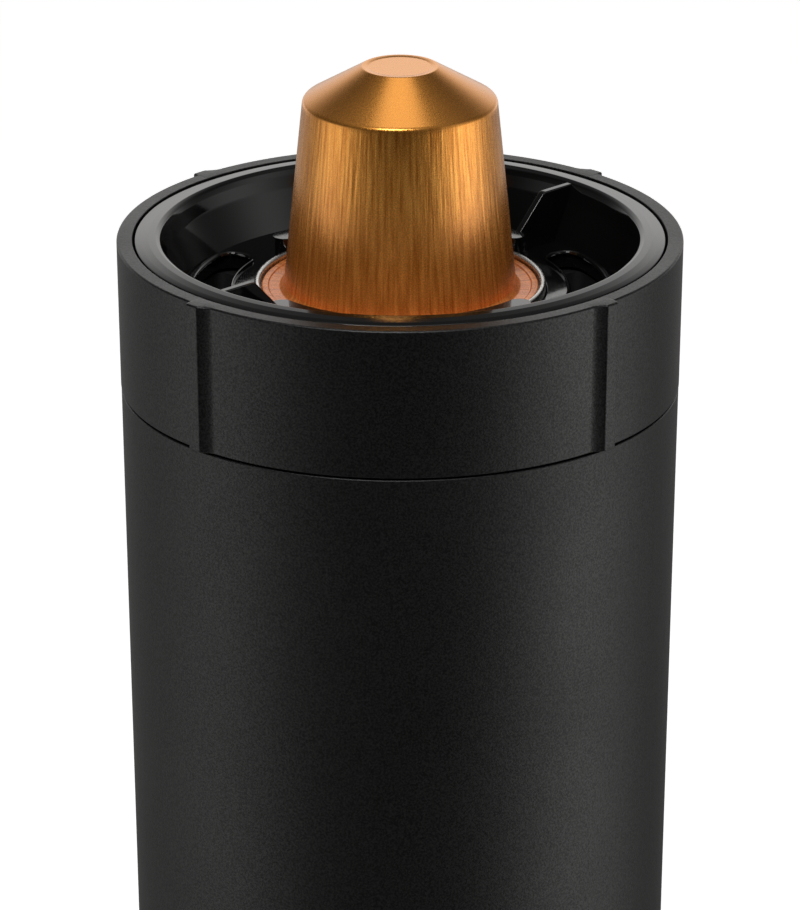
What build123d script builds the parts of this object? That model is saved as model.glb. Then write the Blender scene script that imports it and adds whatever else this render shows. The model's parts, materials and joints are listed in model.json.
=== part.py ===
from build123d import *
import math
import os

# Portable pod coffee machine, millimetres, +Z up, front towards -Y.
# The origin is the centre of the footprint, on the surface the machine stands on.

# --- driving dimensions ---
RIM_Z = 176.0  # top rim of the grip collar
RIM_R = 37.74  # collar's outer radius at the rim
DRAFT = 0.016  # the outside narrows by this much radius per unit of height, towards the base
COLLAR_H = 20.24
SEAM_GAP = 0.3
SHELL_STEP = 0.05  # the shell is a touch slimmer than the collar above it
SHELL_WALL = 1.7
RUN = 0.06  # radial clearance of running fits
FREE = 0.3  # clearance between pieces of different bodies

SEAM_Z = RIM_Z - COLLAR_H
SHELL_TOP = SEAM_Z - SEAM_GAP

BUTTON_Z = 62.0
BUTTON_R = 6.8
SOCKET_Z = 20.0


def outer_radius(z):
    """Radius of the tapered outside at height z, below the collar."""
    return RIM_R - SHELL_STEP - DRAFT * (RIM_Z - z)


def polar(radius, degrees):
    """Point of the XY plane at a radius and an angle."""
    return (radius * math.cos(math.radians(degrees)), radius * math.sin(math.radians(degrees)))


def make_screws(head_face, shank_dir, spots, head_r, head_h, shank_r, length):
    """A group of hex-socket screws. head_face is the plane under the heads, shank_dir is 1 or -1
    along its normal, and spots are the screws' centres in that plane."""
    with BuildPart() as screws:
        with BuildSketch(head_face):
            with Locations(*spots):
                Circle(head_r)
        extrude(amount=-shank_dir * head_h)
        with BuildSketch(head_face):
            with Locations(*spots):
                Circle(shank_r)
        extrude(amount=shank_dir * length)
        with BuildSketch(head_face.offset(-shank_dir * head_h)):
            with Locations(*spots):
                RegularPolygon(head_r * 0.5, 6)
        extrude(amount=shank_dir * head_h * 0.6, mode=Mode.SUBTRACT)
    return screws


def make_tube(path, outer_r, bore_r):
    """A hose along a path, bored through unless bore_r is zero."""
    with BuildPart() as tube:
        with BuildSketch(Plane(origin=path @ 0, z_dir=path % 0)):
            Circle(outer_r)
            if bore_r:
                Circle(bore_r, mode=Mode.SUBTRACT)
        sweep(path=path)
    return tube


def make_lead(points, bend_r, wire_r):
    """An insulated wire with rounded bends."""
    with BuildLine() as route:
        FilletPolyline(*points, radius=bend_r)
    return make_tube(route.wire(), wire_r, 0)


# --- grip collar: the ribbed twist ring round the top ---
COLLAR_BORE_R = 35.65
RIB_STEP_ANGLE = 43.3  # the rib's sharp side, measured from the X axis
RIB_CREST_ANGLE = 46.7
RIB_FOOT_ANGLE = 49.3
RIB_HEIGHT = 0.95
LOCK_SCREW_R = 33.4
LOCK_Z = RIM_Z - 13.2
LUG_H = 3.2
LUG_BORE_R = 31.5
SMALL_SHANK_R = 1.0
SMALL_HEAD_R = 1.8
SMALL_HEAD_H = 1.3
SLIM_HEAD_R = 1.7
corner_angles = (45, 135, 225, 315)
lock_spots = [polar(LOCK_SCREW_R, angle) for angle in corner_angles]

with BuildPart() as grip_collar:
    with BuildSketch(Plane.XZ):
        with BuildLine():
            Polyline(
                (COLLAR_BORE_R, SEAM_Z),
                (RIM_R - DRAFT * COLLAR_H, SEAM_Z),
                (RIM_R, RIM_Z),
                (COLLAR_BORE_R, RIM_Z),
                close=True,
            )
        make_face()
    revolve(axis=Axis.Z)
    rim_edges = grip_collar.edges().filter_by(GeomType.CIRCLE).group_by(Axis.Z)[-1]
    fillet(rim_edges.sort_by(SortBy.RADIUS)[-1], radius=0.4)
    rim_edges = grip_collar.edges().filter_by(GeomType.CIRCLE).group_by(Axis.Z)[-1]
    fillet(rim_edges.sort_by(SortBy.RADIUS)[0], radius=0.15)
    with BuildSketch(Plane.XY.offset(SEAM_Z)):
        for flip_x, flip_y in ((1, 1), (-1, 1), (-1, -1), (1, -1)):
            outline = [
                polar(RIM_R - 0.6, RIB_FOOT_ANGLE + 0.4),
                polar(RIM_R + 0.25, (RIB_FOOT_ANGLE + RIB_CREST_ANGLE) / 2),
                polar(RIM_R + RIB_HEIGHT, RIB_CREST_ANGLE),
                polar(RIM_R + RIB_HEIGHT, RIB_STEP_ANGLE + 0.4),
                polar(RIM_R - 0.6, RIB_STEP_ANGLE),
                polar(COLLAR_BORE_R + 0.8, (RIB_FOOT_ANGLE + RIB_STEP_ANGLE) / 2),
            ]
            foot, ramp, crest, brow, step, root = [(x * flip_x, y * flip_y) for x, y in outline]
            with BuildLine():
                ThreePointArc(foot, ramp, crest)
                Polyline(crest, brow, step, root, foot)
            make_face()
    extrude(amount=COLLAR_H - 0.2)
    with BuildSketch(Plane.XY.offset(LOCK_Z - LUG_H)):
        with PolarLocations(LOCK_SCREW_R, 4, start_angle=45):
            Rectangle(6, 9)
        Circle(COLLAR_BORE_R + 0.2, mode=Mode.INTERSECT)
        Circle(LUG_BORE_R, mode=Mode.SUBTRACT)
        with Locations(*lock_spots):
            Circle(SMALL_SHANK_R, mode=Mode.SUBTRACT)
    extrude(amount=LUG_H)
grip_collar.part.label = "grip_collar"

# --- lock ring: turns with the collar under the bowl's floor and grips the closing head ---
LOCK_T = 3.2
HUB_R = 22.0  # the bowl's hub, which the lock ring turns round
WELL_IN_R = 22.3
WELL_OUT_R = 28.0
WELL_HALF_ANGLE = 33.0
LOCK_WINDOW_IN_R = 23.8
LOCK_WINDOW_HALF_ANGLE = 30.0


def arc_window(inner_r, outer_r, half_angle, corner_r):
    """Two rounded arc-shaped windows centred on the X axis, as a sketch."""
    with BuildSketch() as window:
        for middle in (0, 180):
            corners = [
                polar(inner_r, middle - half_angle),
                polar(outer_r, middle - half_angle),
                polar(outer_r, middle + half_angle),
                polar(inner_r, middle + half_angle),
            ]
            with BuildLine():
                Line(corners[0], corners[1])
                ThreePointArc(corners[1], polar(outer_r, middle), corners[2])
                Line(corners[2], corners[3])
                ThreePointArc(corners[3], polar(inner_r, middle), corners[0])
            make_face()
        fillet(window.vertices(), radius=corner_r)
    return window.sketch


with BuildPart() as lock_ring:
    with BuildSketch(Plane.XY.offset(LOCK_Z)):
        Circle(COLLAR_BORE_R)
        Circle(HUB_R + RUN, mode=Mode.SUBTRACT)
        add(arc_window(LOCK_WINDOW_IN_R, WELL_OUT_R + 0.3, LOCK_WINDOW_HALF_ANGLE, 1.2), mode=Mode.SUBTRACT)
        with Locations(*lock_spots):
            Circle(SMALL_SHANK_R, mode=Mode.SUBTRACT)
    extrude(amount=LOCK_T)
lock_ring.part.label = "lock_ring"

collar_screws = make_screws(
    Plane.XY.offset(LOCK_Z + LOCK_T), -1, lock_spots, SMALL_HEAD_R, SMALL_HEAD_H, SMALL_SHANK_R, LOCK_T + 2.6
)
collar_screws.part.label = "collar_screws"

# --- bowl: glossy filling funnel with the capsule seat in its middle ---
LIP_R = COLLAR_BORE_R - FREE
LIP_IN_R = 32.35
LIP_RISE = 0.35  # the lip's inner edge stands this much above the collar's rim
BOWL_WALL = 1.5
FLOOR_Z = RIM_Z - 7.4
FLOOR_R = 28.6
FLOOR_T = 2.0
HUB_BOTTOM_Z = LOCK_Z - FREE
SEAT_R = 19.55
SEAT_STEP_Z = RIM_Z - 10.2
CUP_R = 15.0
CUP_FLOOR_Z = RIM_Z - 12.2
LEDGE_Z = RIM_Z - 4.6
LEDGE_OUT_R = 21.9
LEDGE_HALF_ANGLE = 52.0
FIN_ANGLE = 43.0
FIN_T = 1.0
FIN_TOP_Z = RIM_Z + 0.05
FIN_IN_R = 21.8
RISER_R = 3.0
BOWL_SCREW_R = 11.5
bowl_spots = [polar(BOWL_SCREW_R, angle) for angle in (90, 210, 330)]

with BuildPart() as bowl:
    with BuildSketch(Plane.XZ):
        with BuildLine():
            Polyline(
                (RISER_R, HUB_BOTTOM_Z),
                (HUB_R, HUB_BOTTOM_Z),
                (HUB_R, FLOOR_Z - FLOOR_T),
                (FLOOR_R + 1.2, FLOOR_Z - FLOOR_T),
                (LIP_R - BOWL_WALL, RIM_Z - 2.4),
                (LIP_R, RIM_Z - 2.2),
                (LIP_R, RIM_Z - 0.15),
                (LIP_IN_R, RIM_Z + LIP_RISE),
                (LIP_IN_R - 0.25, RIM_Z - 0.3),
                (FLOOR_R, FLOOR_Z),
                (SEAT_R, FLOOR_Z),
                (SEAT_R, SEAT_STEP_Z),
                (CUP_R, SEAT_STEP_Z),
                (CUP_R, CUP_FLOOR_Z),
                (RISER_R, CUP_FLOOR_Z),
                close=True,
            )
        make_face()
    revolve(axis=Axis.Z)
    # seat ledges in front of and behind the capsule
    with BuildSketch(Plane.XY.offset(FLOOR_Z)):
        for middle in (90, 270):
            ends = [polar(r, middle + turn) for r, turn in (
                (SEAT_R, -LEDGE_HALF_ANGLE), (LEDGE_OUT_R, -LEDGE_HALF_ANGLE),
                (LEDGE_OUT_R, LEDGE_HALF_ANGLE), (SEAT_R, LEDGE_HALF_ANGLE))]
            with BuildLine():
                Line(ends[0], ends[1])
                ThreePointArc(ends[1], polar(LEDGE_OUT_R, middle), ends[2])
                Line(ends[2], ends[3])
                ThreePointArc(ends[3], polar(SEAT_R, middle), ends[0])
            make_face()
    extrude(amount=LEDGE_Z - FLOOR_Z)
    # two upright fins that key the closing head
    for fin_angle in (FIN_ANGLE, FIN_ANGLE + 180):
        outward = polar(1, fin_angle) + (0,)
        across = polar(1, fin_angle - 90) + (0,)
        with BuildSketch(Plane(origin=(0, 0, 0), x_dir=outward, z_dir=across)):
            with BuildLine():
                Polyline((FIN_IN_R, FLOOR_Z - 1), (FLOOR_R + 0.8, FLOOR_Z - 1), (LIP_IN_R + 0.3, FIN_TOP_Z))
                Line((LIP_IN_R + 0.3, FIN_TOP_Z), (27.0, FIN_TOP_Z))
                RadiusArc((27.0, FIN_TOP_Z), (25.2, FIN_TOP_Z - 1.2), -2.4)
                Line((25.2, FIN_TOP_Z - 1.2), (FIN_IN_R, LEDGE_Z - 0.3))
                Line((FIN_IN_R, LEDGE_Z - 0.3), (FIN_IN_R, FLOOR_Z - 1))
            make_face()
        extrude(amount=FIN_T / 2, both=True)
    # wells that take the head's lugs and let the water run down
    with BuildSketch(Plane.XY.offset(FLOOR_Z)):
        add(arc_window(WELL_IN_R - 0.6, WELL_OUT_R + 0.5, WELL_HALF_ANGLE + 1.5, 2.6))
        add(arc_window(WELL_IN_R, WELL_OUT_R, WELL_HALF_ANGLE, 2.6), mode=Mode.SUBTRACT)
    extrude(amount=0.4)
    with BuildSketch(Plane.XY.offset(FLOOR_Z - FLOOR_T)):
        add(arc_window(WELL_IN_R, WELL_OUT_R, WELL_HALF_ANGLE, 2.6))
    extrude(amount=FLOOR_T + 0.4, mode=Mode.SUBTRACT)
    with BuildSketch(Plane.XY.offset(HUB_BOTTOM_Z)):
        with Locations(*bowl_spots):
            Circle(SMALL_SHANK_R)
    extrude(amount=CUP_FLOOR_Z - HUB_BOTTOM_Z, mode=Mode.SUBTRACT)
bowl.part.label = "bowl"

bowl_screws = make_screws(
    Plane.XY.offset(CUP_FLOOR_Z), -1, bowl_spots, SMALL_HEAD_R, SMALL_HEAD_H, SMALL_SHANK_R, 6.0
)
bowl_screws.part.label = "bowl_screws"

# --- capsule seat: steel ring, piercing plate and gasket ---
RING_R = 19.46
RING_IN_R = 18.7
RING_TOP_Z = RIM_Z - 6.08
RING_FLANGE_T = 0.8
PLATE_R = 16.4
PLATE_T = 0.5
PLATE_Z = SEAT_STEP_Z + RING_FLANGE_T
FOIL_Z = RIM_Z - 7.75

with BuildPart() as seat_ring:
    with BuildSketch(Plane.XZ):
        with BuildLine():
            Polyline(
                (CUP_R + 0.2, SEAT_STEP_Z),
                (RING_R, SEAT_STEP_Z),
                (RING_R, RING_TOP_Z),
                (RING_IN_R, RING_TOP_Z),
                (RING_IN_R, PLATE_Z),
                (CUP_R + 0.2, PLATE_Z),
                close=True,
            )
        make_face()
    revolve(axis=Axis.Z)
    fillet(seat_ring.edges().filter_by(GeomType.CIRCLE).group_by(Axis.Z)[-1], radius=0.35)
seat_ring.part.label = "seat_ring"

with BuildPart() as pierce_plate:
    with BuildSketch(Plane.XY.offset(PLATE_Z)):
        Circle(PLATE_R)
        with GridLocations(4, 4, 6, 6):
            Circle(0.45, mode=Mode.SUBTRACT)
    extrude(amount=PLATE_T)
    with BuildSketch(Plane.XY.offset(PLATE_Z + PLATE_T)):
        with GridLocations(4, 4, 5, 5):
            Rectangle(1.5, 1.5)
    extrude(amount=0.85, taper=35)
pierce_plate.part.label = "pierce_plate"

with BuildPart() as seat_gasket:
    with BuildSketch(Plane.XY.offset(PLATE_Z)):
        Circle(RING_IN_R)
        Circle(PLATE_R, mode=Mode.SUBTRACT)
    extrude(amount=FOIL_Z - 0.1 - PLATE_Z)
seat_gasket.part.label = "seat_gasket"

# --- capsule: aluminium shell, lid foil and the coffee inside ---
FLANGE_R = 18.5
FLANGE_Z = RIM_Z - 6.7
FOIL_T = 0.15
SKIN_T = 0.3
CAPSULE_BASE_R = 15.5
SHOULDER_R = 12.93
SHOULDER_Z = RIM_Z + 19.03
CROWN_R = 5.07
CROWN_Z = RIM_Z + 23.66

with BuildPart() as capsule_shell:
    with BuildSketch(Plane.XZ):
        with BuildLine():
            Polyline(
                (CAPSULE_BASE_R - SKIN_T, FOIL_Z + FOIL_T),
                (FLANGE_R, FOIL_Z + FOIL_T),
                (FLANGE_R, FLANGE_Z),
                (CAPSULE_BASE_R + 0.5, FLANGE_Z - 0.3),
                (CAPSULE_BASE_R, FLANGE_Z + 0.4),
                (SHOULDER_R, SHOULDER_Z),
                (CROWN_R, CROWN_Z),
                (CROWN_R - 0.4, CROWN_Z - 0.25),
                (0, CROWN_Z - 0.25),
                (0, CROWN_Z - 0.25 - SKIN_T),
                (CROWN_R - 0.3, CROWN_Z - 0.25 - SKIN_T),
                (SHOULDER_R - SKIN_T, SHOULDER_Z - SKIN_T),
                close=True,
            )
        make_face()
    revolve(axis=Axis.Z)
capsule_shell.part.label = "capsule_shell"

with BuildPart() as capsule_foil:
    with BuildSketch(Plane.XY.offset(FOIL_Z)):
        Circle(FLANGE_R - 0.4)
    extrude(amount=FOIL_T)
capsule_foil.part.label = "capsule_foil"

with BuildPart() as coffee_bed:
    with BuildSketch(Plane.XZ):
        with BuildLine():
            Polyline(
                (0, FOIL_Z + FOIL_T),
                (CAPSULE_BASE_R - SKIN_T - 0.1, FOIL_Z + FOIL_T),
                (SHOULDER_R - SKIN_T + 0.1, SHOULDER_Z - 3),
                (0, SHOULDER_Z - 3),
                close=True,
            )
        make_face()
    revolve(axis=Axis.Z)
coffee_bed.part.label = "coffee_bed"

# --- deck: the fixed plate between the lock ring and the boiler ---
DECK_TOP_Z = HUB_BOTTOM_Z
DECK_R = 31.1
DECK_FLANGE_R = LIP_R
DECK_FLANGE_Z = DECK_TOP_Z - 3.5
DECK_BOTTOM_Z = RIM_Z - 19.9
SEAL_Z = (DECK_FLANGE_Z + DECK_BOTTOM_Z) / 2
SEAL_SECTION_R = 0.8
SEAL_MAJOR_R = COLLAR_BORE_R - 0.08 - SEAL_SECTION_R
FILL_R = 3.2
FILL_SPOTS = ((25.4, 0), (-25.4, 0))
STACK_SCREW_R = 31.2
stack_spots = [polar(STACK_SCREW_R, angle) for angle in range(30, 360, 60)]

with BuildPart() as deck:
    with BuildSketch(Plane.XY.offset(DECK_BOTTOM_Z)):
        Circle(DECK_FLANGE_R)
    extrude(amount=DECK_FLANGE_Z - DECK_BOTTOM_Z)
    with BuildSketch(Plane.XY.offset(DECK_FLANGE_Z)):
        Circle(DECK_R)
    extrude(amount=DECK_TOP_Z - DECK_FLANGE_Z)
    with BuildSketch(Plane.XZ):
        with Locations((DECK_FLANGE_R, SEAL_Z)):
            Rectangle(2 * (DECK_FLANGE_R - SEAL_MAJOR_R + SEAL_SECTION_R), 2 * SEAL_SECTION_R)
    revolve(axis=Axis.Z, mode=Mode.SUBTRACT)
    with BuildSketch(Plane.XY.offset(DECK_BOTTOM_Z)):
        Circle(RISER_R)
        with Locations(*FILL_SPOTS):
            Circle(FILL_R)
    extrude(amount=DECK_TOP_Z - DECK_BOTTOM_Z, mode=Mode.SUBTRACT)
    with BuildSketch(Plane.XY.offset(DECK_TOP_Z)):
        with Locations(*bowl_spots):
            Circle(SMALL_SHANK_R)
    extrude(amount=-(6.0 - (CUP_FLOOR_Z - DECK_TOP_Z)), mode=Mode.SUBTRACT)
    with BuildSketch(Plane.XY.offset(DECK_BOTTOM_Z)):
        with Locations(*stack_spots):
            Circle(SMALL_SHANK_R)
    extrude(amount=2.4, mode=Mode.SUBTRACT)
deck.part.label = "deck"

with BuildPart() as deck_seal:
    with BuildSketch(Plane.XZ):
        with Locations((SEAL_MAJOR_R, SEAL_Z)):
            Circle(SEAL_SECTION_R)
    revolve(axis=Axis.Z)
deck_seal.part.label = "deck_seal"

# --- boiler: steel cup that holds and heats the water ---
BOILER_R = 29.0
BOILER_WALL = 1.0
BOILER_FLANGE_R = 33.2
GASKET_T = 0.8
BOILER_TOP_Z = DECK_BOTTOM_Z - GASKET_T
BOILER_FLOOR_Z = 112.0
BOILER_FLOOR_T = 1.2
BOILER_UNDER_Z = BOILER_FLOOR_Z - BOILER_FLOOR_T
SUCTION_X = 19.0
HOSE_BORE_R = 2.4
ELEMENT_R = 19.5
LEG_SPOTS = ((-19.0, 4.4), (-19.0, -4.4))
LEG_R = 2.4

with BuildPart() as boiler:
    with BuildSketch(Plane.XY.offset(BOILER_UNDER_Z)):
        Circle(BOILER_R)
    extrude(amount=BOILER_TOP_Z - BOILER_UNDER_Z)
    fillet(boiler.edges().group_by(Axis.Z)[0], radius=2.0)
    with BuildSketch(Plane.XY.offset(BOILER_FLOOR_Z)):
        Circle(BOILER_R - BOILER_WALL)
    extrude(amount=BOILER_TOP_Z - BOILER_FLOOR_Z, mode=Mode.SUBTRACT)
    with BuildSketch(Plane.XY.offset(BOILER_TOP_Z - 1.0)):
        Circle(BOILER_FLANGE_R)
        Circle(BOILER_R - 0.5, mode=Mode.SUBTRACT)
        with Locations(*stack_spots):
            Circle(SMALL_SHANK_R, mode=Mode.SUBTRACT)
    extrude(amount=1.0)
    with BuildSketch(Plane.XY.offset(BOILER_UNDER_Z - 6)):
        with Locations((SUCTION_X, 0)):
            Circle(HOSE_BORE_R)
    extrude(amount=6.5)
    with BuildSketch(Plane.XY.offset(BOILER_UNDER_Z - 6)):
        with Locations((SUCTION_X, 0)):
            Circle(1.5)
    extrude(amount=BOILER_FLOOR_T + 6, mode=Mode.SUBTRACT)
    with BuildSketch(Plane.XY.offset(BOILER_UNDER_Z)):
        Circle(RISER_R)
        with Locations(*LEG_SPOTS):
            Circle(LEG_R)
    extrude(amount=BOILER_FLOOR_T, mode=Mode.SUBTRACT)
boiler.part.label = "boiler"

with BuildPart() as boiler_gasket:
    with BuildSketch(Plane.XY.offset(BOILER_TOP_Z)):
        Circle(BOILER_FLANGE_R)
        Circle(BOILER_R - 0.6, mode=Mode.SUBTRACT)
        with Locations(*stack_spots):
            Circle(SMALL_SHANK_R, mode=Mode.SUBTRACT)
    extrude(amount=GASKET_T)
boiler_gasket.part.label = "boiler_gasket"

ELEMENT_Z = BOILER_FLOOR_Z + 5.0
ELEMENT_TUBE_R = 2.0
with BuildPart() as heater_element:
    with BuildSketch(Plane.XZ):
        with Locations((ELEMENT_R, ELEMENT_Z)):
            Circle(ELEMENT_TUBE_R)
    revolve(axis=Axis.Z)
    with BuildSketch(Plane.XY.offset(BOILER_UNDER_Z - 4)):
        with Locations(*LEG_SPOTS):
            Circle(LEG_R)
    extrude(amount=ELEMENT_Z + ELEMENT_TUBE_R + 0.6 - (BOILER_UNDER_Z - 4))
heater_element.part.label = "heater_element"

with BuildPart() as thermostat:
    with BuildSketch(Plane.XY.offset(BOILER_UNDER_Z)):
        with Locations((0, -14)):
            Circle(6.5)
    extrude(amount=-3.5)
    with BuildSketch(Plane.XY.offset(BOILER_UNDER_Z - 3.5)):
        with Locations((0, -14)):
            Circle(4.5)
    extrude(amount=-2)
    with BuildSketch(Plane.XY.offset(BOILER_UNDER_Z - 2)):
        with Locations((8, -14), (-8, -14)):
            Rectangle(4, 3)
    extrude(amount=-0.8)
thermostat.part.label = "thermostat"

FUSE_R = 2.0
with BuildPart() as thermal_fuse:
    with BuildSketch(Plane.YZ.offset(-5)):
        with Locations((14, BOILER_UNDER_Z - FUSE_R)):
            Circle(FUSE_R)
    extrude(amount=10)
thermal_fuse.part.label = "thermal_fuse"

# --- riser: carries hot water through the boiler's centre to the capsule seat ---
RISER_BORE_R = 1.6
RISER_BOTTOM_Z = 103.0
RISER_SEAL_R = 0.9
with BuildPart() as riser_tube:
    with BuildSketch(Plane.XY.offset(RISER_BOTTOM_Z)):
        Circle(RISER_R)
        Circle(RISER_BORE_R, mode=Mode.SUBTRACT)
    extrude(amount=CUP_FLOOR_Z - RISER_BOTTOM_Z)
riser_tube.part.label = "riser_tube"

with BuildPart() as riser_seals:
    with BuildSketch(Plane.XZ):
        with Locations(
            (RISER_R + RISER_SEAL_R, BOILER_FLOOR_Z + RISER_SEAL_R),
            (RISER_R + RISER_SEAL_R, DECK_BOTTOM_Z - RISER_SEAL_R),
        ):
            Circle(RISER_SEAL_R)
    revolve(axis=Axis.Z)
riser_seals.part.label = "riser_seals"

# --- chassis: cage that carries the boiler, pump and board ---
CAGE_TOP_Z = BOILER_TOP_Z - 1.0
CAGE_RING_T = 4.0
CAGE_RING_R = 35.3
POST_R = 31.8
POST_W = 2.4
PLATE_BOTTOM_Z = 8.0
CAGE_PLATE_T = 2.5
CAGE_PLATE_R = 32.0
SHELF_Z = 46.0
SHELF_T = 2.0
BOSS_R = 3.2
BASE_SCREW_R = 20.0
COVER_TOP_Z = 5.0
PUMP_MOUNT_XY = 10.0
BOARD_BACK_Y = -23.4
RAIL_X = 12.5
RAIL_TOP_Z = 88.0
BOARD_SCREW_ZS = (42.0, 80.0)
BOARD_SHANK_R = 0.9
base_spots = [polar(BASE_SCREW_R, angle) for angle in corner_angles]
mount_spots = [(x, y) for x in (-PUMP_MOUNT_XY, PUMP_MOUNT_XY) for y in (-PUMP_MOUNT_XY, PUMP_MOUNT_XY)]

with BuildPart() as chassis:
    with BuildSketch(Plane.XY.offset(CAGE_TOP_Z - CAGE_RING_T)):
        Circle(CAGE_RING_R)
        Circle(BOILER_R + 0.3, mode=Mode.SUBTRACT)
        with Locations(*stack_spots):
            Circle(SMALL_SHANK_R, mode=Mode.SUBTRACT)
    extrude(amount=CAGE_RING_T)
    with BuildSketch(Plane.XY.offset(PLATE_BOTTOM_Z)):
        with PolarLocations(POST_R, 4, start_angle=45):
            Rectangle(POST_W, 9)
        Circle(BOILER_R + 1.6, mode=Mode.SUBTRACT)
        Circle(CAGE_PLATE_R + 0.6, mode=Mode.INTERSECT)
    extrude(amount=CAGE_TOP_Z - CAGE_RING_T - PLATE_BOTTOM_Z)
    with BuildSketch(Plane.XY.offset(PLATE_BOTTOM_Z)):
        Circle(CAGE_PLATE_R)
        Circle(12, mode=Mode.SUBTRACT)
    extrude(amount=CAGE_PLATE_T)
    with BuildSketch(Plane.XY.offset(SHELF_Z)):
        Circle(CAGE_PLATE_R - 0.6)
        Circle(8.4, mode=Mode.SUBTRACT)
        with Locations((SUCTION_X, 0)):
            SlotOverall(9.6, 8.8, mode=Mode.SUBTRACT)
        with Locations((0, BOARD_BACK_Y - 6)):
            Rectangle(36, 12.2, mode=Mode.SUBTRACT)
        with Locations((-24, 0)):
            Circle(3, mode=Mode.SUBTRACT)
    extrude(amount=SHELF_T)
    with BuildSketch(Plane.XY.offset(PLATE_BOTTOM_Z)):
        with Locations((-RAIL_X, BOARD_BACK_Y + 1.8), (RAIL_X, BOARD_BACK_Y + 1.8)):
            Rectangle(5, 3.6)
    extrude(amount=RAIL_TOP_Z - PLATE_BOTTOM_Z)
    with BuildSketch(Plane.XY.offset(COVER_TOP_Z)):
        with Locations(*base_spots):
            Circle(BOSS_R)
    extrude(amount=PLATE_BOTTOM_Z - COVER_TOP_Z)
    with BuildSketch(Plane.XY.offset(COVER_TOP_Z)):
        with Locations(*base_spots):
            Circle(SMALL_SHANK_R)
    extrude(amount=PLATE_BOTTOM_Z + CAGE_PLATE_T - COVER_TOP_Z, mode=Mode.SUBTRACT)
    with BuildSketch(Plane.XZ.offset(-BOARD_BACK_Y)):
        with Locations(*[(x, z) for x in (-RAIL_X, RAIL_X) for z in BOARD_SCREW_ZS]):
            Circle(BOARD_SHANK_R)
    extrude(amount=-3.6, mode=Mode.SUBTRACT)
chassis.part.label = "chassis"

STACK_SCREW_LENGTH = CAGE_RING_T + 1.0 + GASKET_T + 2.2
CAGE_RING_UNDER_Z = CAGE_TOP_Z - CAGE_RING_T
stack_screws = make_screws(
    Plane.XY.offset(CAGE_RING_UNDER_Z),
    1,
    stack_spots,
    SLIM_HEAD_R,
    SMALL_HEAD_H,
    SMALL_SHANK_R,
    STACK_SCREW_LENGTH,
)
stack_screws.part.label = "stack_screws"

with BuildPart() as pump_mounts:
    with BuildSketch(Plane.XY.offset(SHELF_Z + SHELF_T)):
        with Locations(*mount_spots):
            Circle(2.4)
    extrude(amount=2.5)
pump_mounts.part.label = "pump_mounts"

# --- vibrating pump: a spring-loaded piston inside a coil ---
PUMP_FOOT_Z = SHELF_Z + SHELF_T + 2.5
PLATE_H = 1.5
COIL_H = 26.0
COIL_R = 12.6
TUBE_R = 7.0
PISTON_R = 5.0
PISTON_CLEAR = 0.06
TUBE_BOTTOM_Z = 42.0
TUBE_TOP_Z = 88.0
VALVE_SEAT_Z = 91.0
PUMP_TOP_Z = 99.5
YOKE_TOP_Z = PUMP_FOOT_Z + 2 * PLATE_H + COIL_H
NIPPLE_R = 2.4

with BuildPart() as pump_yoke:
    with BuildSketch(Plane.XY.offset(PUMP_FOOT_Z)):
        Rectangle(27, 27)
        Circle(TUBE_R, mode=Mode.SUBTRACT)
    extrude(amount=PLATE_H)
    with BuildSketch(Plane.XY.offset(YOKE_TOP_Z - PLATE_H)):
        Rectangle(27, 27)
        Circle(TUBE_R, mode=Mode.SUBTRACT)
    extrude(amount=PLATE_H)
    with BuildSketch(Plane.XY.offset(PUMP_FOOT_Z)):
        with Locations((0, 13.25)):
            Rectangle(20, 1.2)
    extrude(amount=YOKE_TOP_Z - PUMP_FOOT_Z)
pump_yoke.part.label = "pump_yoke"

with BuildPart() as coil_bobbin:
    with BuildSketch(Plane.XZ):
        with BuildLine():
            Polyline(
                (TUBE_R, PUMP_FOOT_Z + PLATE_H),
                (COIL_R, PUMP_FOOT_Z + PLATE_H),
                (COIL_R, PUMP_FOOT_Z + PLATE_H + 1.2),
                (TUBE_R + 1.0, PUMP_FOOT_Z + PLATE_H + 1.2),
                (TUBE_R + 1.0, YOKE_TOP_Z - PLATE_H - 1.2),
                (COIL_R, YOKE_TOP_Z - PLATE_H - 1.2),
                (COIL_R, YOKE_TOP_Z - PLATE_H),
                (TUBE_R, YOKE_TOP_Z - PLATE_H),
                close=True,
            )
        make_face()
    revolve(axis=Axis.Z)
coil_bobbin.part.label = "coil_bobbin"

with BuildPart() as coil_winding:
    with BuildSketch(Plane.XY.offset(PUMP_FOOT_Z + PLATE_H + 1.2)):
        Circle(COIL_R - 0.5)
        Circle(TUBE_R + 1.0, mode=Mode.SUBTRACT)
    extrude(amount=COIL_H - 2.4)
coil_winding.part.label = "coil_winding"

with BuildPart() as pump_barrel:
    with BuildSketch(Plane.XZ):
        with BuildLine():
            Polyline(
                (1.4, TUBE_BOTTOM_Z - 6),
                (NIPPLE_R, TUBE_BOTTOM_Z - 6),
                (NIPPLE_R, TUBE_BOTTOM_Z - 2),
                (TUBE_R, TUBE_BOTTOM_Z),
                (TUBE_R, TUBE_TOP_Z),
                (PISTON_R + PISTON_CLEAR, TUBE_TOP_Z),
                (PISTON_R + PISTON_CLEAR, TUBE_BOTTOM_Z + 2),
                (1.4, TUBE_BOTTOM_Z + 2),
                close=True,
            )
        make_face()
    revolve(axis=Axis.Z)
pump_barrel.part.label = "pump_barrel"

PISTON_BOTTOM_Z = TUBE_BOTTOM_Z + 14.0
PISTON_TOP_Z = TUBE_TOP_Z - 1.0
with BuildPart() as pump_piston:
    with BuildSketch(Plane.XY.offset(PISTON_BOTTOM_Z)):
        Circle(PISTON_R)
        Circle(1.2, mode=Mode.SUBTRACT)
    extrude(amount=PISTON_TOP_Z - PISTON_BOTTOM_Z)
pump_piston.part.label = "pump_piston"

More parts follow.
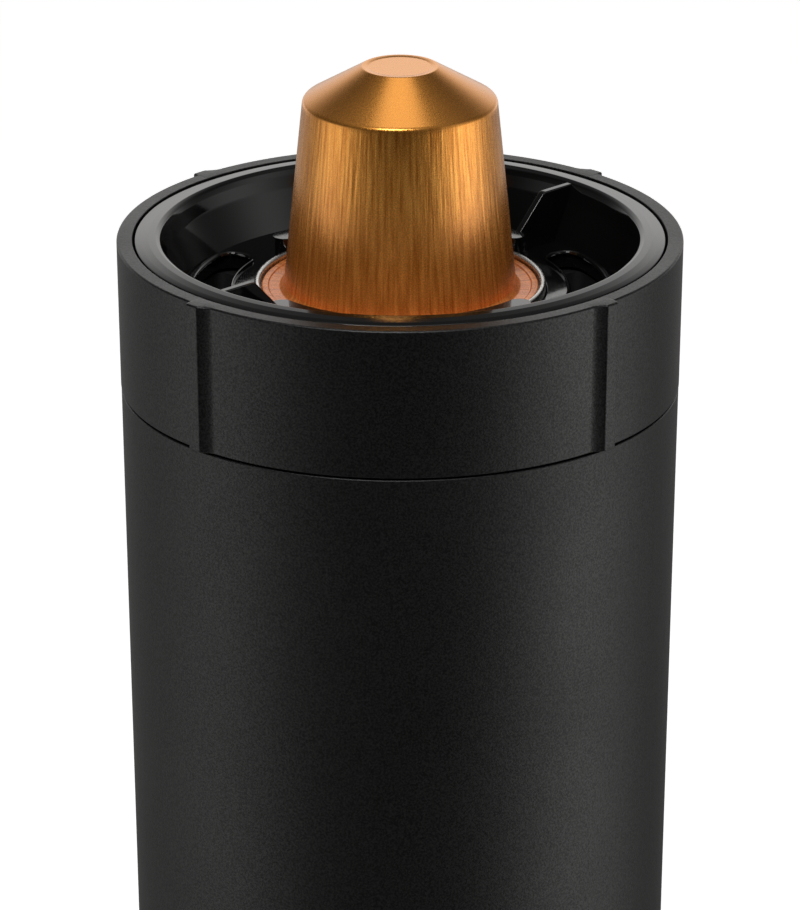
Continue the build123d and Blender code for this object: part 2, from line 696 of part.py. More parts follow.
SPRING_WIRE_R = 0.5
SPRING_R = 3.6
spring_foot = TUBE_BOTTOM_Z + 2 + SPRING_WIRE_R + 0.05
spring_rise = PISTON_BOTTOM_Z - SPRING_WIRE_R - 0.05 - spring_foot
with BuildPart() as pump_spring:
    with BuildLine() as coil_line:
        Helix(pitch=spring_rise / 4, height=spring_rise, radius=SPRING_R, center=(0, 0, spring_foot))
    with BuildSketch(Plane(origin=coil_line.line @ 0, z_dir=coil_line.line % 0)):
        Circle(SPRING_WIRE_R)
    sweep(path=coil_line.line, is_frenet=True)
pump_spring.part.label = "pump_spring"

BALL_R = 2.0
VALVE_BORE_R = 2.6
with BuildPart() as pump_head:
    with BuildSketch(Plane.XZ):
        with BuildLine():
            Polyline(
                (1.2, TUBE_TOP_Z),
                (TUBE_R + 1.5, TUBE_TOP_Z),
                (TUBE_R + 1.5, TUBE_TOP_Z + 6),
                (4.5, TUBE_TOP_Z + 8),
                (NIPPLE_R, TUBE_TOP_Z + 9.0),
                (NIPPLE_R, PUMP_TOP_Z + 2),
                (1.2, PUMP_TOP_Z + 2),
                (1.2, VALVE_SEAT_Z + 6),
                (VALVE_BORE_R, VALVE_SEAT_Z + 5),
                (VALVE_BORE_R, VALVE_SEAT_Z),
                (1.2, VALVE_SEAT_Z - 1.4),
                close=True,
            )
        make_face()
    revolve(axis=Axis.Z)
pump_head.part.label = "pump_head"

BALL_Z = VALVE_SEAT_Z - VALVE_BORE_R + (BALL_R + 0.02) * math.sqrt(2)  # just off its 45 degree seat
with BuildPart() as valve_ball:
    with BuildSketch(Plane.XZ):
        with BuildLine():
            Line((0, BALL_Z - BALL_R), (0, BALL_Z + BALL_R))
            ThreePointArc((0, BALL_Z + BALL_R), (BALL_R, BALL_Z), (0, BALL_Z - BALL_R))
        make_face()
    revolve(axis=Axis.Z)
valve_ball.part.label = "valve_ball"

VALVE_SPRING_R = 1.9
VALVE_WIRE_R = 0.2
valve_spring_foot = BALL_Z + 1.1
valve_spring_rise = VALVE_SEAT_Z + 5.0 - 0.3 - valve_spring_foot
with BuildPart() as valve_spring:
    with BuildLine() as valve_line:
        Helix(
            pitch=valve_spring_rise / 3,
            height=valve_spring_rise,
            radius=VALVE_SPRING_R,
            center=(0, 0, valve_spring_foot),
        )
    with BuildSketch(Plane(origin=valve_line.line @ 0, z_dir=valve_line.line % 0)):
        Circle(VALVE_WIRE_R)
    sweep(path=valve_line.line, is_frenet=True)
valve_spring.part.label = "valve_spring"

# --- hoses and their clips ---
HOSE_R = 3.6
PRESSURE_HOSE_R = 4.2
with BuildLine() as suction_route:
    FilletPolyline(
        (SUCTION_X, 0, BOILER_UNDER_Z - 1.0),
        (SUCTION_X, 0, 24.0),
        (0, 0, 24.0),
        (0, 0, TUBE_BOTTOM_Z - 2.0),
        radius=9.4,
    )
suction_hose = make_tube(suction_route.wire(), HOSE_R, HOSE_BORE_R)
suction_hose.part.label = "suction_hose"

with BuildPart() as pressure_hose:
    with BuildSketch(Plane.XY.offset(TUBE_TOP_Z + 9.2)):
        Circle(PRESSURE_HOSE_R)
        Circle(NIPPLE_R, mode=Mode.SUBTRACT)
    extrude(amount=RISER_BOTTOM_Z + 5 - TUBE_TOP_Z - 9.2)
    with BuildSketch(Plane.XY.offset(RISER_BOTTOM_Z)):
        Circle(RISER_R)
    extrude(amount=5, mode=Mode.SUBTRACT)
pressure_hose.part.label = "pressure_hose"

CLIP_H = 2.0
CLIP_T = 0.6
with BuildPart() as hose_clips:
    with BuildSketch(Plane.XY.offset(BOILER_UNDER_Z - 4)):
        with Locations((SUCTION_X, 0)):
            Circle(HOSE_R + CLIP_T)
            Circle(HOSE_R, mode=Mode.SUBTRACT)
    extrude(amount=CLIP_H)
    with BuildSketch(Plane.XY.offset(TUBE_BOTTOM_Z - 5.5)):
        Circle(HOSE_R + CLIP_T)
        Circle(HOSE_R, mode=Mode.SUBTRACT)
    extrude(amount=CLIP_H)
    with BuildSketch(Plane.XY.offset(RISER_BOTTOM_Z + 1)):
        Circle(PRESSURE_HOSE_R + CLIP_T)
        Circle(PRESSURE_HOSE_R, mode=Mode.SUBTRACT)
    extrude(amount=CLIP_H)
hose_clips.part.label = "hose_clips"

# --- housing: tapered shell, base cover and rubber foot ---
BEZEL_R = 8.4
LENS_R = 9.4
SOCKET_R = 6.6
COVER_Z = 1.0
SHELL_BOTTOM = 2.2
LEDGE_SHELF_Z = CAGE_RING_UNDER_Z
SHELF_RING_R = 34.0  # inner radius of the ledge the cage rests on

with BuildPart() as body_shell:
    with BuildSketch(Plane.XZ):
        with BuildLine():
            Polyline(
                (outer_radius(SHELL_BOTTOM) - SHELL_WALL, SHELL_BOTTOM),
                (outer_radius(SHELL_BOTTOM), SHELL_BOTTOM),
                (outer_radius(SHELL_TOP), SHELL_TOP),
                (outer_radius(SHELL_TOP) - SHELL_WALL, SHELL_TOP),
                (outer_radius(LEDGE_SHELF_Z) - SHELL_WALL, LEDGE_SHELF_Z),
                (SHELF_RING_R, LEDGE_SHELF_Z),
                (SHELF_RING_R, LEDGE_SHELF_Z - 2.0),
                (outer_radius(LEDGE_SHELF_Z - 3.5) - SHELL_WALL, LEDGE_SHELF_Z - 3.5),
                close=True,
            )
        make_face()
    revolve(axis=Axis.Z)
    mouth_edges = body_shell.edges().filter_by(GeomType.CIRCLE).group_by(Axis.Z)[-1]
    fillet(mouth_edges.sort_by(SortBy.RADIUS)[-1], radius=0.2)
    with BuildSketch(Plane.XZ):
        with Locations((0, BUTTON_Z)):
            Circle(LENS_R)
    extrude(amount=RIM_R, mode=Mode.SUBTRACT)
    with BuildSketch(Plane.XZ):
        with Locations((0, SOCKET_Z)):
            Circle(SOCKET_R)
    extrude(amount=-RIM_R, mode=Mode.SUBTRACT)
body_shell.part.label = "body_shell"

FOOT_OUT_R = 31.5
FOOT_IN_R = 25.5
FOOT_TOP_Z = 2.4
with BuildPart() as base_cover:
    with BuildSketch(Plane.XZ):
        with BuildLine():
            Polyline(
                (0, COVER_Z),
                (outer_radius(COVER_Z), COVER_Z),
                (outer_radius(SHELL_BOTTOM), SHELL_BOTTOM),
                (outer_radius(SHELL_BOTTOM) - SHELL_WALL - 0.1, SHELL_BOTTOM),
                (outer_radius(SHELL_BOTTOM) - SHELL_WALL - 0.1, COVER_TOP_Z),
                (0, COVER_TOP_Z),
                close=True,
            )
        make_face()
    revolve(axis=Axis.Z)
    chamfer(base_cover.edges().filter_by(GeomType.CIRCLE).group_by(Axis.Z)[0], length=0.6)
    with BuildSketch(Plane.XY.offset(COVER_Z)):
        Circle(FOOT_OUT_R)
        Circle(FOOT_IN_R, mode=Mode.SUBTRACT)
    extrude(amount=FOOT_TOP_Z - COVER_Z, mode=Mode.SUBTRACT)
    with BuildSketch(Plane.XY.offset(COVER_Z)):
        with Locations(*base_spots):
            Circle(SMALL_SHANK_R)
    extrude(amount=COVER_TOP_Z - COVER_Z, mode=Mode.SUBTRACT)
    with BuildSketch(Plane.XY.offset(COVER_Z)):
        with Locations(*base_spots):
            Circle(2.4)
    extrude(amount=1.8, mode=Mode.SUBTRACT)
base_cover.part.label = "base_cover"

base_screws = make_screws(
    Plane.XY.offset(COVER_Z + 1.8), 1, base_spots, SMALL_HEAD_R, SMALL_HEAD_H, SMALL_SHANK_R, 7.0
)
base_screws.part.label = "base_screws"

with BuildPart() as foot_ring:
    with BuildSketch(Plane.XY):
        Circle(FOOT_OUT_R)
        Circle(FOOT_IN_R, mode=Mode.SUBTRACT)
    extrude(amount=FOOT_TOP_Z)
    fillet(foot_ring.edges().group_by(Axis.Z)[0], radius=0.4)
foot_ring.part.label = "foot_ring"

# --- start button with its bezel and light ring, curved to the shell ---
with BuildPart() as envelope:
    with BuildSketch(Plane.XZ):
        with BuildLine():
            Polyline(
                (0, 0),
                (outer_radius(0), 0),
                (outer_radius(SHELL_TOP), SHELL_TOP),
                (0, SHELL_TOP),
                close=True,
            )
        make_face()
    revolve(axis=Axis.Z)

BEZEL_BACK_Y = -31.6
with BuildPart() as status_lens:
    with BuildSketch(Plane.XZ.offset(-BEZEL_BACK_Y)):
        with Locations((0, BUTTON_Z)):
            Circle(LENS_R)
            Circle(BEZEL_R, mode=Mode.SUBTRACT)
    extrude(amount=8)
    add(envelope.part, mode=Mode.INTERSECT)
status_lens.part.label = "status_lens"

with BuildPart() as button_bezel:
    with BuildSketch(Plane.XZ.offset(-BEZEL_BACK_Y)):
        with Locations((0, BUTTON_Z)):
            Circle(BEZEL_R)
            Circle(BUTTON_R + FREE, mode=Mode.SUBTRACT)
    extrude(amount=8)
    add(envelope.part, mode=Mode.INTERSECT)
button_bezel.part.label = "button_bezel"

BUTTON_BACK_Y = -33.0
STEM_END_Y = -29.2
with BuildPart() as power_button:
    with BuildSketch(Plane.XZ.offset(-BUTTON_BACK_Y)):
        with Locations((0, BUTTON_Z)):
            Circle(BUTTON_R)
    extrude(amount=8)
    add(envelope.part, mode=Mode.INTERSECT)
    with BuildSketch(Plane.XZ.offset(-STEM_END_Y)):
        with Locations((0, BUTTON_Z)):
            Circle(2.2)
    extrude(amount=STEM_END_Y - BUTTON_BACK_Y)
power_button.part.label = "power_button"

# --- control board and what sits on it ---
BOARD_T = 1.6
BOARD_FRONT_Y = BOARD_BACK_Y - BOARD_T
board_spots = [(x, z) for x in (-RAIL_X, RAIL_X) for z in BOARD_SCREW_ZS]
with BuildPart() as control_board:
    with BuildSketch(Plane.XZ.offset(-BOARD_BACK_Y)):
        with Locations((0, 61)):
            RectangleRounded(32, 50, 1.5)
        with Locations(*board_spots):
            Circle(BOARD_SHANK_R, mode=Mode.SUBTRACT)
    extrude(amount=BOARD_T)
control_board.part.label = "control_board"

board_screws = make_screws(
    Plane.XZ.offset(-BOARD_FRONT_Y), -1, board_spots, SLIM_HEAD_R, 1.2, BOARD_SHANK_R, BOARD_T + 3.0
)
board_screws.part.label = "board_screws"

with BuildPart() as start_switch:
    with BuildSketch(Plane.XZ.offset(-BOARD_FRONT_Y)):
        with Locations((0, BUTTON_Z)):
            Rectangle(6, 6)
    extrude(amount=2.0)
    with BuildSketch(Plane.XZ.offset(-BOARD_FRONT_Y + 2.0)):
        with Locations((0, BUTTON_Z)):
            Circle(1.6)
    extrude(amount=0.7)
start_switch.part.label = "start_switch"

with BuildPart() as relay:
    with BuildSketch(Plane.XZ.offset(-BOARD_FRONT_Y)):
        with Locations((-5, 43.5)):
            Rectangle(10, 8)
    extrude(amount=4.5)
relay.part.label = "relay"

with BuildPart() as capacitor:
    with BuildSketch(Plane.XZ.offset(-BOARD_FRONT_Y)):
        with Locations((6, 76)):
            Circle(2.5)
    extrude(amount=6)
capacitor.part.label = "capacitor"

# --- 12 V inlet at the lower back ---
JACK_R = 4.4
JACK_BORE_R = 2.8
JACK_IN_Y = 20.0
SOCKET_HEAD_Y = 31.0
NUT_Y = 28.6
PIN_R = 1.05
with BuildPart() as dc_socket:
    with BuildSketch(Plane.XZ.offset(-SOCKET_HEAD_Y)):
        with Locations((0, SOCKET_Z)):
            Circle(SOCKET_R)
    extrude(amount=-8)
    add(envelope.part, mode=Mode.INTERSECT)
    with BuildSketch(Plane.XZ.offset(-JACK_IN_Y)):
        with Locations((0, SOCKET_Z)):
            Circle(JACK_R)
    extrude(amount=-(SOCKET_HEAD_Y - JACK_IN_Y))
    with BuildSketch(Plane.XZ.offset(-JACK_IN_Y - 2.0)):
        with Locations((0, SOCKET_Z)):
            Circle(JACK_BORE_R)
    extrude(amount=-20, mode=Mode.SUBTRACT)
    with BuildSketch(Plane.XZ.offset(-JACK_IN_Y)):
        with Locations((0, SOCKET_Z)):
            Circle(PIN_R)
    extrude(amount=-2.0, mode=Mode.SUBTRACT)
dc_socket.part.label = "dc_socket"

with BuildPart() as socket_pin:
    with BuildSketch(Plane.XZ.offset(-JACK_IN_Y + 1.5)):
        with Locations((0, SOCKET_Z)):
            Circle(PIN_R)
    extrude(amount=-13.5)
socket_pin.part.label = "socket_pin"

with BuildPart() as socket_nut:
    with BuildSketch(Plane.XZ.offset(-NUT_Y)):
        with Locations((0, SOCKET_Z)):
            RegularPolygon(6.4, 6)
            Circle(JACK_R, mode=Mode.SUBTRACT)
    extrude(amount=-2.4)
socket_nut.part.label = "socket_nut"

# --- internal wiring ---
LEAD_R = 0.8
BEND_R = 2.0
LEAD_FLOOR_Z = 13.0
power_routes = [
    [
        (x, JACK_IN_Y, SOCKET_Z),
        (x, 14.5, SOCKET_Z),
        (x, 14.5, LEAD_FLOOR_Z),
        (x, -19.0, LEAD_FLOOR_Z),
        (x, -19.0, 39.0),
        (x, BOARD_BACK_Y, 39.0),
    ]
    for x in (-3.0, 3.0)
]
pump_routes = [
    [(x, BOARD_BACK_Y, 70.0), (x, -18.0, 70.0), (x, -18.0, 64.0), (x, 0.7 - COIL_R, 64.0)]
    for x in (-3.0, 3.0)
]
heater_routes = [
    [
        (x, BOARD_BACK_Y, z),
        (x, -19.8, z),
        (x, -19.8, turn_z),
        (leg[0], leg[1], turn_z),
        (leg[0], leg[1], BOILER_UNDER_Z - 4),
    ]
    for x, z, turn_z, leg in ((-8.0, 82.0, 98.0, LEG_SPOTS[1]), (-5.0, 84.0, 101.0, LEG_SPOTS[0]))
]


def make_harness(routes):
    """A group of leads, one for each route."""
    with BuildPart() as harness:
        for route in routes:
            add(make_lead(route, BEND_R, LEAD_R).part)
    return harness


power_leads = make_harness(power_routes)
power_leads.part.label = "power_leads"
pump_leads = make_harness(pump_routes)
pump_leads.part.label = "pump_leads"
heater_leads = make_harness(heater_routes)
heater_leads.part.label = "heater_leads"

parts = [
    grip_collar, lock_ring, collar_screws, bowl, bowl_screws, seat_ring, pierce_plate, seat_gasket,
    capsule_shell, capsule_foil, coffee_bed, deck, deck_seal, boiler, boiler_gasket, heater_element,
    thermostat, thermal_fuse, riser_tube, riser_seals, chassis, stack_screws, pump_mounts, pump_yoke,
    coil_bobbin, coil_winding, pump_barrel, pump_piston, pump_spring, pump_head, valve_ball, valve_spring,
    suction_hose, pressure_hose, hose_clips, body_shell, base_cover, base_screws, foot_ring, status_lens,
    button_bezel, power_button, control_board, board_screws, start_switch, relay, capacitor, dc_socket,
    socket_pin, socket_nut, power_leads, pump_leads, heater_leads,
]
os.makedirs("parts", exist_ok=True)
for piece in parts:
    export_step(piece.part, f"parts/{piece.part.label}.step")
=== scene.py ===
"""Studio scene of a portable pod coffee machine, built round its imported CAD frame. Lengths are in metres."""
import json
import math

import bmesh
import bpy
from mathutils import Matrix, Vector


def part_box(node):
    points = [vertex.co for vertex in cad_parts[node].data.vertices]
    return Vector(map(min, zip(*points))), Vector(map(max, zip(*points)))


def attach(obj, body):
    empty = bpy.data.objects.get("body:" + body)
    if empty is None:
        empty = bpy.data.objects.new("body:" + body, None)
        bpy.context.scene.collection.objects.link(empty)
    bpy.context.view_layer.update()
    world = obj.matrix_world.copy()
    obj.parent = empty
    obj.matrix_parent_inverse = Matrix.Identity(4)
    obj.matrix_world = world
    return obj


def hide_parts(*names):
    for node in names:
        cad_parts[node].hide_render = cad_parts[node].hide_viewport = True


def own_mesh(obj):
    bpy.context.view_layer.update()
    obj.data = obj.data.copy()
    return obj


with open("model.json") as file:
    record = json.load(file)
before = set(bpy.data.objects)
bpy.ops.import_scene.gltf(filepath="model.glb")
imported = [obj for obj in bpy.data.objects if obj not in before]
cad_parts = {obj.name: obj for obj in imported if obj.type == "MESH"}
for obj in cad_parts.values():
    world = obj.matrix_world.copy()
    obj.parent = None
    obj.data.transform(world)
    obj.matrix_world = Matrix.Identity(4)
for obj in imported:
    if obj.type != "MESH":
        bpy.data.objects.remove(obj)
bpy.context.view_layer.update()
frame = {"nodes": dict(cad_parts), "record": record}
scene = bpy.context.scene

MM = 0.001
collar_low, collar_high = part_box("grip_collar")
SEAM_Z = collar_low.z
RIM_Z = collar_high.z
RIM_R = collar_high.x


def linked(name, data):
    """A new object in the scene."""
    obj = bpy.data.objects.new(name, data)
    scene.collection.objects.link(obj)
    return obj


# ------------------------------------------------------------------ camera
CAMERA_DISTANCE = 0.8097  # level distance from the object's axis
CAMERA_ABOVE_RIM = 0.278
CAMERA_PITCH = 20.903  # degrees below the horizon
CAMERA_LENS = 254.3  # millimetres, on a 36 mm wide sensor
CAMERA_TURN = -0.6  # degrees round the object


def make_camera():
    data = bpy.data.cameras.new("camera")
    data.sensor_width = 36.0
    data.lens = CAMERA_LENS
    data.clip_start = 0.05
    data.clip_end = 20.0
    camera = linked("camera", data)
    turn = math.radians(CAMERA_TURN)
    away_x, away_y = CAMERA_DISTANCE * math.sin(turn), -CAMERA_DISTANCE * math.cos(turn)
    camera.location = (away_x, away_y, RIM_Z + CAMERA_ABOVE_RIM)
    camera.rotation_euler = (math.radians(90 - CAMERA_PITCH), 0, turn)
    scene.camera = camera


# ------------------------------------------------------------------ node helpers
class Shader:
    """A small wrapper that keeps node building short."""

    def __init__(self, name):
        self.material = bpy.data.materials.new(name)
        self.material.use_nodes = True
        self.tree = self.material.node_tree
        self.shader = self.tree.nodes["Principled BSDF"]

    def node(self, kind, **values):
        made = self.tree.nodes.new(kind)
        for key, value in values.items():
            setattr(made, key, value)
        return made

    def link(self, source, target):
        self.tree.links.new(source, target)

    def feed(self, socket, source):
        """Links a value to an input of the surface."""
        self.link(source, self.shader.inputs[socket])

    def set(self, **values):
        for key, value in values.items():
            self.shader.inputs[key.replace("_", " ")].default_value = value

    def object_coords(self, scale=(1, 1, 1)):
        coords = self.node("ShaderNodeTexCoord")
        mapping = self.node("ShaderNodeMapping")
        mapping.inputs["Scale"].default_value = scale
        self.link(coords.outputs["Object"], mapping.inputs["Vector"])
        return mapping.outputs["Vector"]

    def noise(self, vector, scale, detail=3.0, roughness=0.5):
        made = self.node("ShaderNodeTexNoise")
        made.inputs["Scale"].default_value = scale
        made.inputs["Detail"].default_value = detail
        made.inputs["Roughness"].default_value = roughness
        self.link(vector, made.inputs["Vector"])
        return made.outputs["Fac"]

    def remap(self, value, low, high, from_low=0.3, from_high=0.7):
        made = self.node("ShaderNodeMapRange")
        made.inputs["From Min"].default_value = from_low
        made.inputs["From Max"].default_value = from_high
        made.inputs["To Min"].default_value = low
        made.inputs["To Max"].default_value = high
        self.link(value, made.inputs["Value"])
        return made.outputs["Result"]

    def colours(self, value, low, high):
        made = self.node("ShaderNodeMix", data_type="RGBA")
        made.inputs["A"].default_value = (*low, 1)
        made.inputs["B"].default_value = (*high, 1)
        self.link(value, made.inputs["Factor"])
        return made.outputs["Result"]

    def bump(self, height, strength, distance, below=None):
        made = self.node("ShaderNodeBump")
        made.inputs["Strength"].default_value = strength
        made.inputs["Distance"].default_value = distance
        self.link(height, made.inputs["Height"])
        if below is not None:
            self.link(below, made.inputs["Normal"])
        return made.outputs["Normal"]


def grained_plastic(name, dark, light, rough_low, rough_high, grain_size, grain_depth):
    """Moulded plastic with a spark-eroded grain: fine bumps, slight tone and gloss variation."""
    s = Shader(name)
    coords = s.object_coords()
    grain = s.noise(coords, 1 / grain_size, 2.0, 0.6)
    patches = s.noise(coords, 60, 3.0)
    s.feed("Base Color", s.colours(s.remap(grain, 0, 1), dark, light))
    s.feed("Roughness", s.remap(patches, rough_low, rough_high))
    s.feed("Normal", s.bump(grain, 0.6, grain_depth))
    return s.material


def polished_plastic(name, dark, light, rough_low, rough_high):
    """Glossy moulded plastic with a faint flow ripple and small gloss changes."""
    s = Shader(name)
    coords = s.object_coords()
    flow = s.noise(coords, 90, 3.0)
    specks = s.noise(coords, 1800, 2.0)
    s.feed("Base Color", s.colours(s.remap(flow, 0, 1), dark, light))
    s.feed("Roughness", s.remap(specks, rough_low, rough_high))
    s.feed("Normal", s.bump(flow, 0.4, 0.000004))
    return s.material


def turned_metal(name, dark, light, rough_low, rough_high, depth=0.000003):
    """Metal with fine marks that run round the Z axis."""
    s = Shader(name)
    marks = s.noise(s.object_coords((60, 60, 9000)), 1.0, 4.0)
    fine = s.noise(s.object_coords(), 2500, 2.0)
    s.feed("Base Color", s.colours(s.remap(marks, 0, 1), dark, light))
    s.feed("Roughness", s.remap(fine, rough_low, rough_high))
    s.feed("Normal", s.bump(marks, 0.5, depth))
    s.set(Metallic=1.0)
    return s.material


def soft_rubber(name, dark, light, rough):
    s = Shader(name)
    dust = s.noise(s.object_coords(), 1500, 4.0)
    s.feed("Base Color", s.colours(s.remap(dust, 0, 1), dark, light))
    s.feed("Roughness", s.remap(dust, rough - 0.1, rough + 0.1))
    s.feed("Normal", s.bump(dust, 0.4, 0.00002))
    return s.material


# ------------------------------------------------------------------ mesh helpers
MERGE_DISTANCE = 2e-7
DEGENERATE_EDGE = 1e-8
ON_AXIS_R = 1e-7


def finish_mesh(obj, body, material, replaces, sharp=40):
    """Common last steps of a rebuilt piece: smooth faces, material, its body, and hiding the imported pieces
    it replaces.
    """
    mesh = obj.data
    mesh.materials.clear()
    mesh.materials.append(material)
    mesh.polygons.foreach_set("use_smooth", [True] * len(mesh.polygons))
    mesh.set_sharp_from_angle(angle=math.radians(sharp))
    mesh.update()
    weighted = obj.modifiers.new("weighted", "WEIGHTED_NORMAL")
    weighted.keep_sharp = True
    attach(obj, body)
    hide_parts(*replaces)


def new_object(name, verts, faces):
    mesh = bpy.data.meshes.new(name)
    mesh.from_pydata(verts, [], faces)
    mesh.validate()
    return linked(name, mesh)


def from_bmesh(name, made):
    mesh = bpy.data.meshes.new(name)
    made.to_mesh(mesh)
    made.free()
    return linked(name, mesh)


def rounded(points, steps):
    """A closed outline with rounded corners. Each point is (a, b) or (a, b, corner radius).
    An open run of points works too, as long as its first and last have no corner radius."""
    outline = []
    count = len(points)
    for i, point in enumerate(points):
        here = Vector(point[:2])
        corner = point[2] if len(point) > 2 else 0.0
        before = Vector(points[i - 1][:2]) - here
        after = Vector(points[(i + 1) % count][:2]) - here
        if corner <= 0:
            outline.append(tuple(here))
            continue
        half = before.angle(after) / 2
        reach = min(corner / math.tan(half), before.length * 0.49, after.length * 0.49)
        middle = here + (before.normalized() + after.normalized()).normalized() * (reach / math.cos(half))
        start = here + before.normalized() * reach - middle
        end = here + after.normalized() * reach - middle
        sweep = start.angle_signed(end)
        for k in range(steps + 1):
            turn = -sweep * k / steps
            spoke = Vector((
                start.x * math.cos(turn) - start.y * math.sin(turn),
                start.x * math.sin(turn) + start.y * math.cos(turn),
            ))
            outline.append(tuple(middle + spoke))
    return outline


def from_rim(points, steps):
    """A rounded outline in metres. Points are (radius, height over the rim, corner radius) in millimetres."""
    placed = [(r * MM, RIM_Z + height * MM, *(c * MM for c in corner)) for r, height, *corner in points]
    return rounded(placed, steps)


def even_angles(count):
    return [360.0 * i / count for i in range(count)]


def cleaned(obj):
    """Merges doubled points and turns all faces outwards."""
    cleaner = bmesh.new()
    cleaner.from_mesh(obj.data)
    bmesh.ops.remove_doubles(cleaner, verts=cleaner.verts, dist=MERGE_DISTANCE)
    bmesh.ops.dissolve_degenerate(cleaner, edges=cleaner.edges, dist=DEGENERATE_EDGE)
    bmesh.ops.recalc_face_normals(cleaner, faces=cleaner.faces)
    cleaner.to_mesh(obj.data)
    cleaner.free()
    return obj


def circle(radius, count):
    """Points round Z that meet a lathed piece's."""
    turns = [math.radians(degrees) for degrees in even_angles(count)]
    return [(radius * math.cos(turn), radius * math.sin(turn)) for turn in turns]


def lathe(name, outline, angles, swell=None, closed=True):
    """Turns a (radius, height) outline round Z. swell(degrees, point number) moves a point outwards."""
    verts, faces = [], []
    count = len(outline)
    for degrees in angles:
        turn = math.radians(degrees)
        for j, (r, z) in enumerate(outline):
            reach = r + (swell(degrees, j) if swell else 0.0)
            verts.append((reach * math.cos(turn), reach * math.sin(turn), z))
    for i in range(len(angles)):
        here = i * count
        there = ((i + 1) % len(angles)) * count
        for j in range(count if closed else count - 1):
            k = (j + 1) % count
            if outline[j][0] < ON_AXIS_R and outline[k][0] < ON_AXIS_R:
                continue
            faces.append((here + j, there + j, there + k, here + k))
    return cleaned(new_object(name, verts, faces))


def outline_normals(outline):
    """Outward unit normals of a closed anticlockwise outline."""
    normals = []
    count = len(outline)
    for i in range(count):
        ahead = Vector(outline[(i + 1) % count]) - Vector(outline[i])
        behind = Vector(outline[i]) - Vector(outline[i - 1])
        along = (ahead.normalized() + behind.normalized()).normalized()
        normals.append(Vector((along.y, -along.x)))
    return normals


def grown(outline, offset):
    """A closed anticlockwise outline moved outwards."""
    pairs = zip(outline, outline_normals(outline))
    return [tuple(Vector(point) + normal * offset) for point, normal in pairs]


def swept(name, outline, profile, caps=False):
    """Carries a profile of (outward offset, height) along a closed outline. Caps fill both ends."""
    count, rows = len(outline), len(profile)
    verts, faces = [], []
    for offset, height in profile:
        verts += [(x, y, height) for x, y in grown(outline, offset)]
    for row in range(rows - 1):
        for i in range(count):
            k = (i + 1) % count
            faces.append((row * count + i, row * count + k, (row + 1) * count + k, (row + 1) * count + i))
    if caps:
        faces.append(tuple(range(count - 1, -1, -1)))
        faces.append(tuple((rows - 1) * count + i for i in range(count)))
    return new_object(name, verts, faces)


def prism(name, outline, low, high, top_edge, low_edge=0.0):
    """A solid of an outline between two heights. The edge radii round its top and, if given, its foot."""
    steps = 5
    profile = []
    for k in range(steps + 1 if low_edge else 0):
        turn = math.pi / 2 * (1 - k / steps)
        profile.append((low_edge * (math.cos(turn) - 1), low + low_edge * (1 - math.sin(turn))))
    if not low_edge:
        profile.append((0.0, low))
    for k in range(steps + 1):
        turn = math.pi / 2 * k / steps
        profile.append((top_edge * (math.cos(turn) - 1), high - top_edge * (1 - math.sin(turn))))
    return cleaned(swept(name, outline, profile, caps=True))


def arc_outline(in_r, out_r, middle, half_angle, corner, steps=60):
    """An anticlockwise arc-shaped outline with rounded corners, round the Z axis, in metres."""
    ring = (in_r + out_r) / 2
    half_length = math.radians(half_angle) * ring
    flat = rounded([
        (-half_length, in_r, corner), (half_length, in_r, corner),
        (half_length, out_r, corner), (-half_length, out_r, corner)], steps=10)
    dense = []
    for i, point in enumerate(flat):
        ahead = flat[(i + 1) % len(flat)]
        gap = math.dist(point, ahead)
        pieces = max(1, round(gap / (half_length * 2) * steps))
        for k in range(pieces):
            dense.append([a + (b - a) * k / pieces for a, b in zip(point, ahead)])
    outline = []
    for along, r in dense:
        turn = math.radians(middle) - along / ring
        outline.append((r * math.cos(turn), r * math.sin(turn)))
    outline.reverse()
    return outline


def filled(name, loops, height, upwards=True):
    """A flat face between an outer outline and the holes in it."""
    made = bmesh.new()
    edges = []
    for loop in loops:
        points = [made.verts.new((x, y, height)) for x, y in loop]
        edges += [made.edges.new((points[i], points[(i + 1) % len(points)])) for i in range(len(points))]
    bmesh.ops.triangle_fill(made, edges=edges, use_beauty=True, normal=(0, 0, 1 if upwards else -1))
    for face in made.faces:
        if (face.normal.z > 0) != upwards:
            face.normal_flip()
    return from_bmesh(name, made)


def joined(name, pieces):
    """One object from several."""
    bpy.context.view_layer.update()
    whole = bmesh.new()
    for piece in pieces:
        loose = piece.data.copy()
        loose.transform(piece.matrix_world)
        whole.from_mesh(loose)
        bpy.data.meshes.remove(loose)
    for piece in pieces:
        bpy.data.objects.remove(piece)
    bmesh.ops.remove_doubles(whole, verts=whole.verts, dist=MERGE_DISTANCE)
    return from_bmesh(name, whole)


# ------------------------------------------------------------------ grip collar
# A rib's profile: angle from the front-to-side axis in degrees, and height in millimetres.
RIB_SHAPE = (
    (43.30, 0.0), (43.42, 0.45), (43.58, 0.85), (43.78, 0.95), (46.40, 0.95), (46.60, 0.90), (46.74, 0.78))
RIB_START = RIB_SHAPE[0][0]
RIB_CREST_END, RIB_CREST_LEFT = RIB_SHAPE[-1]
RIB_FOOT = 49.3
RIB_HOLLOW = 1.6
RIB_STEP = 0.06
RIB_STEPS = 102
RIB_MARGIN = 0.3
COLLAR_BORE = 35.65 * MM
COLLAR_TAPER = 0.016
EDGE_STEPS = 6
LUG_IN_R = 31.5 * MM
LUG_HEIGHT = 3.2 * MM
LUG_HALF_ANGLE = 7.6


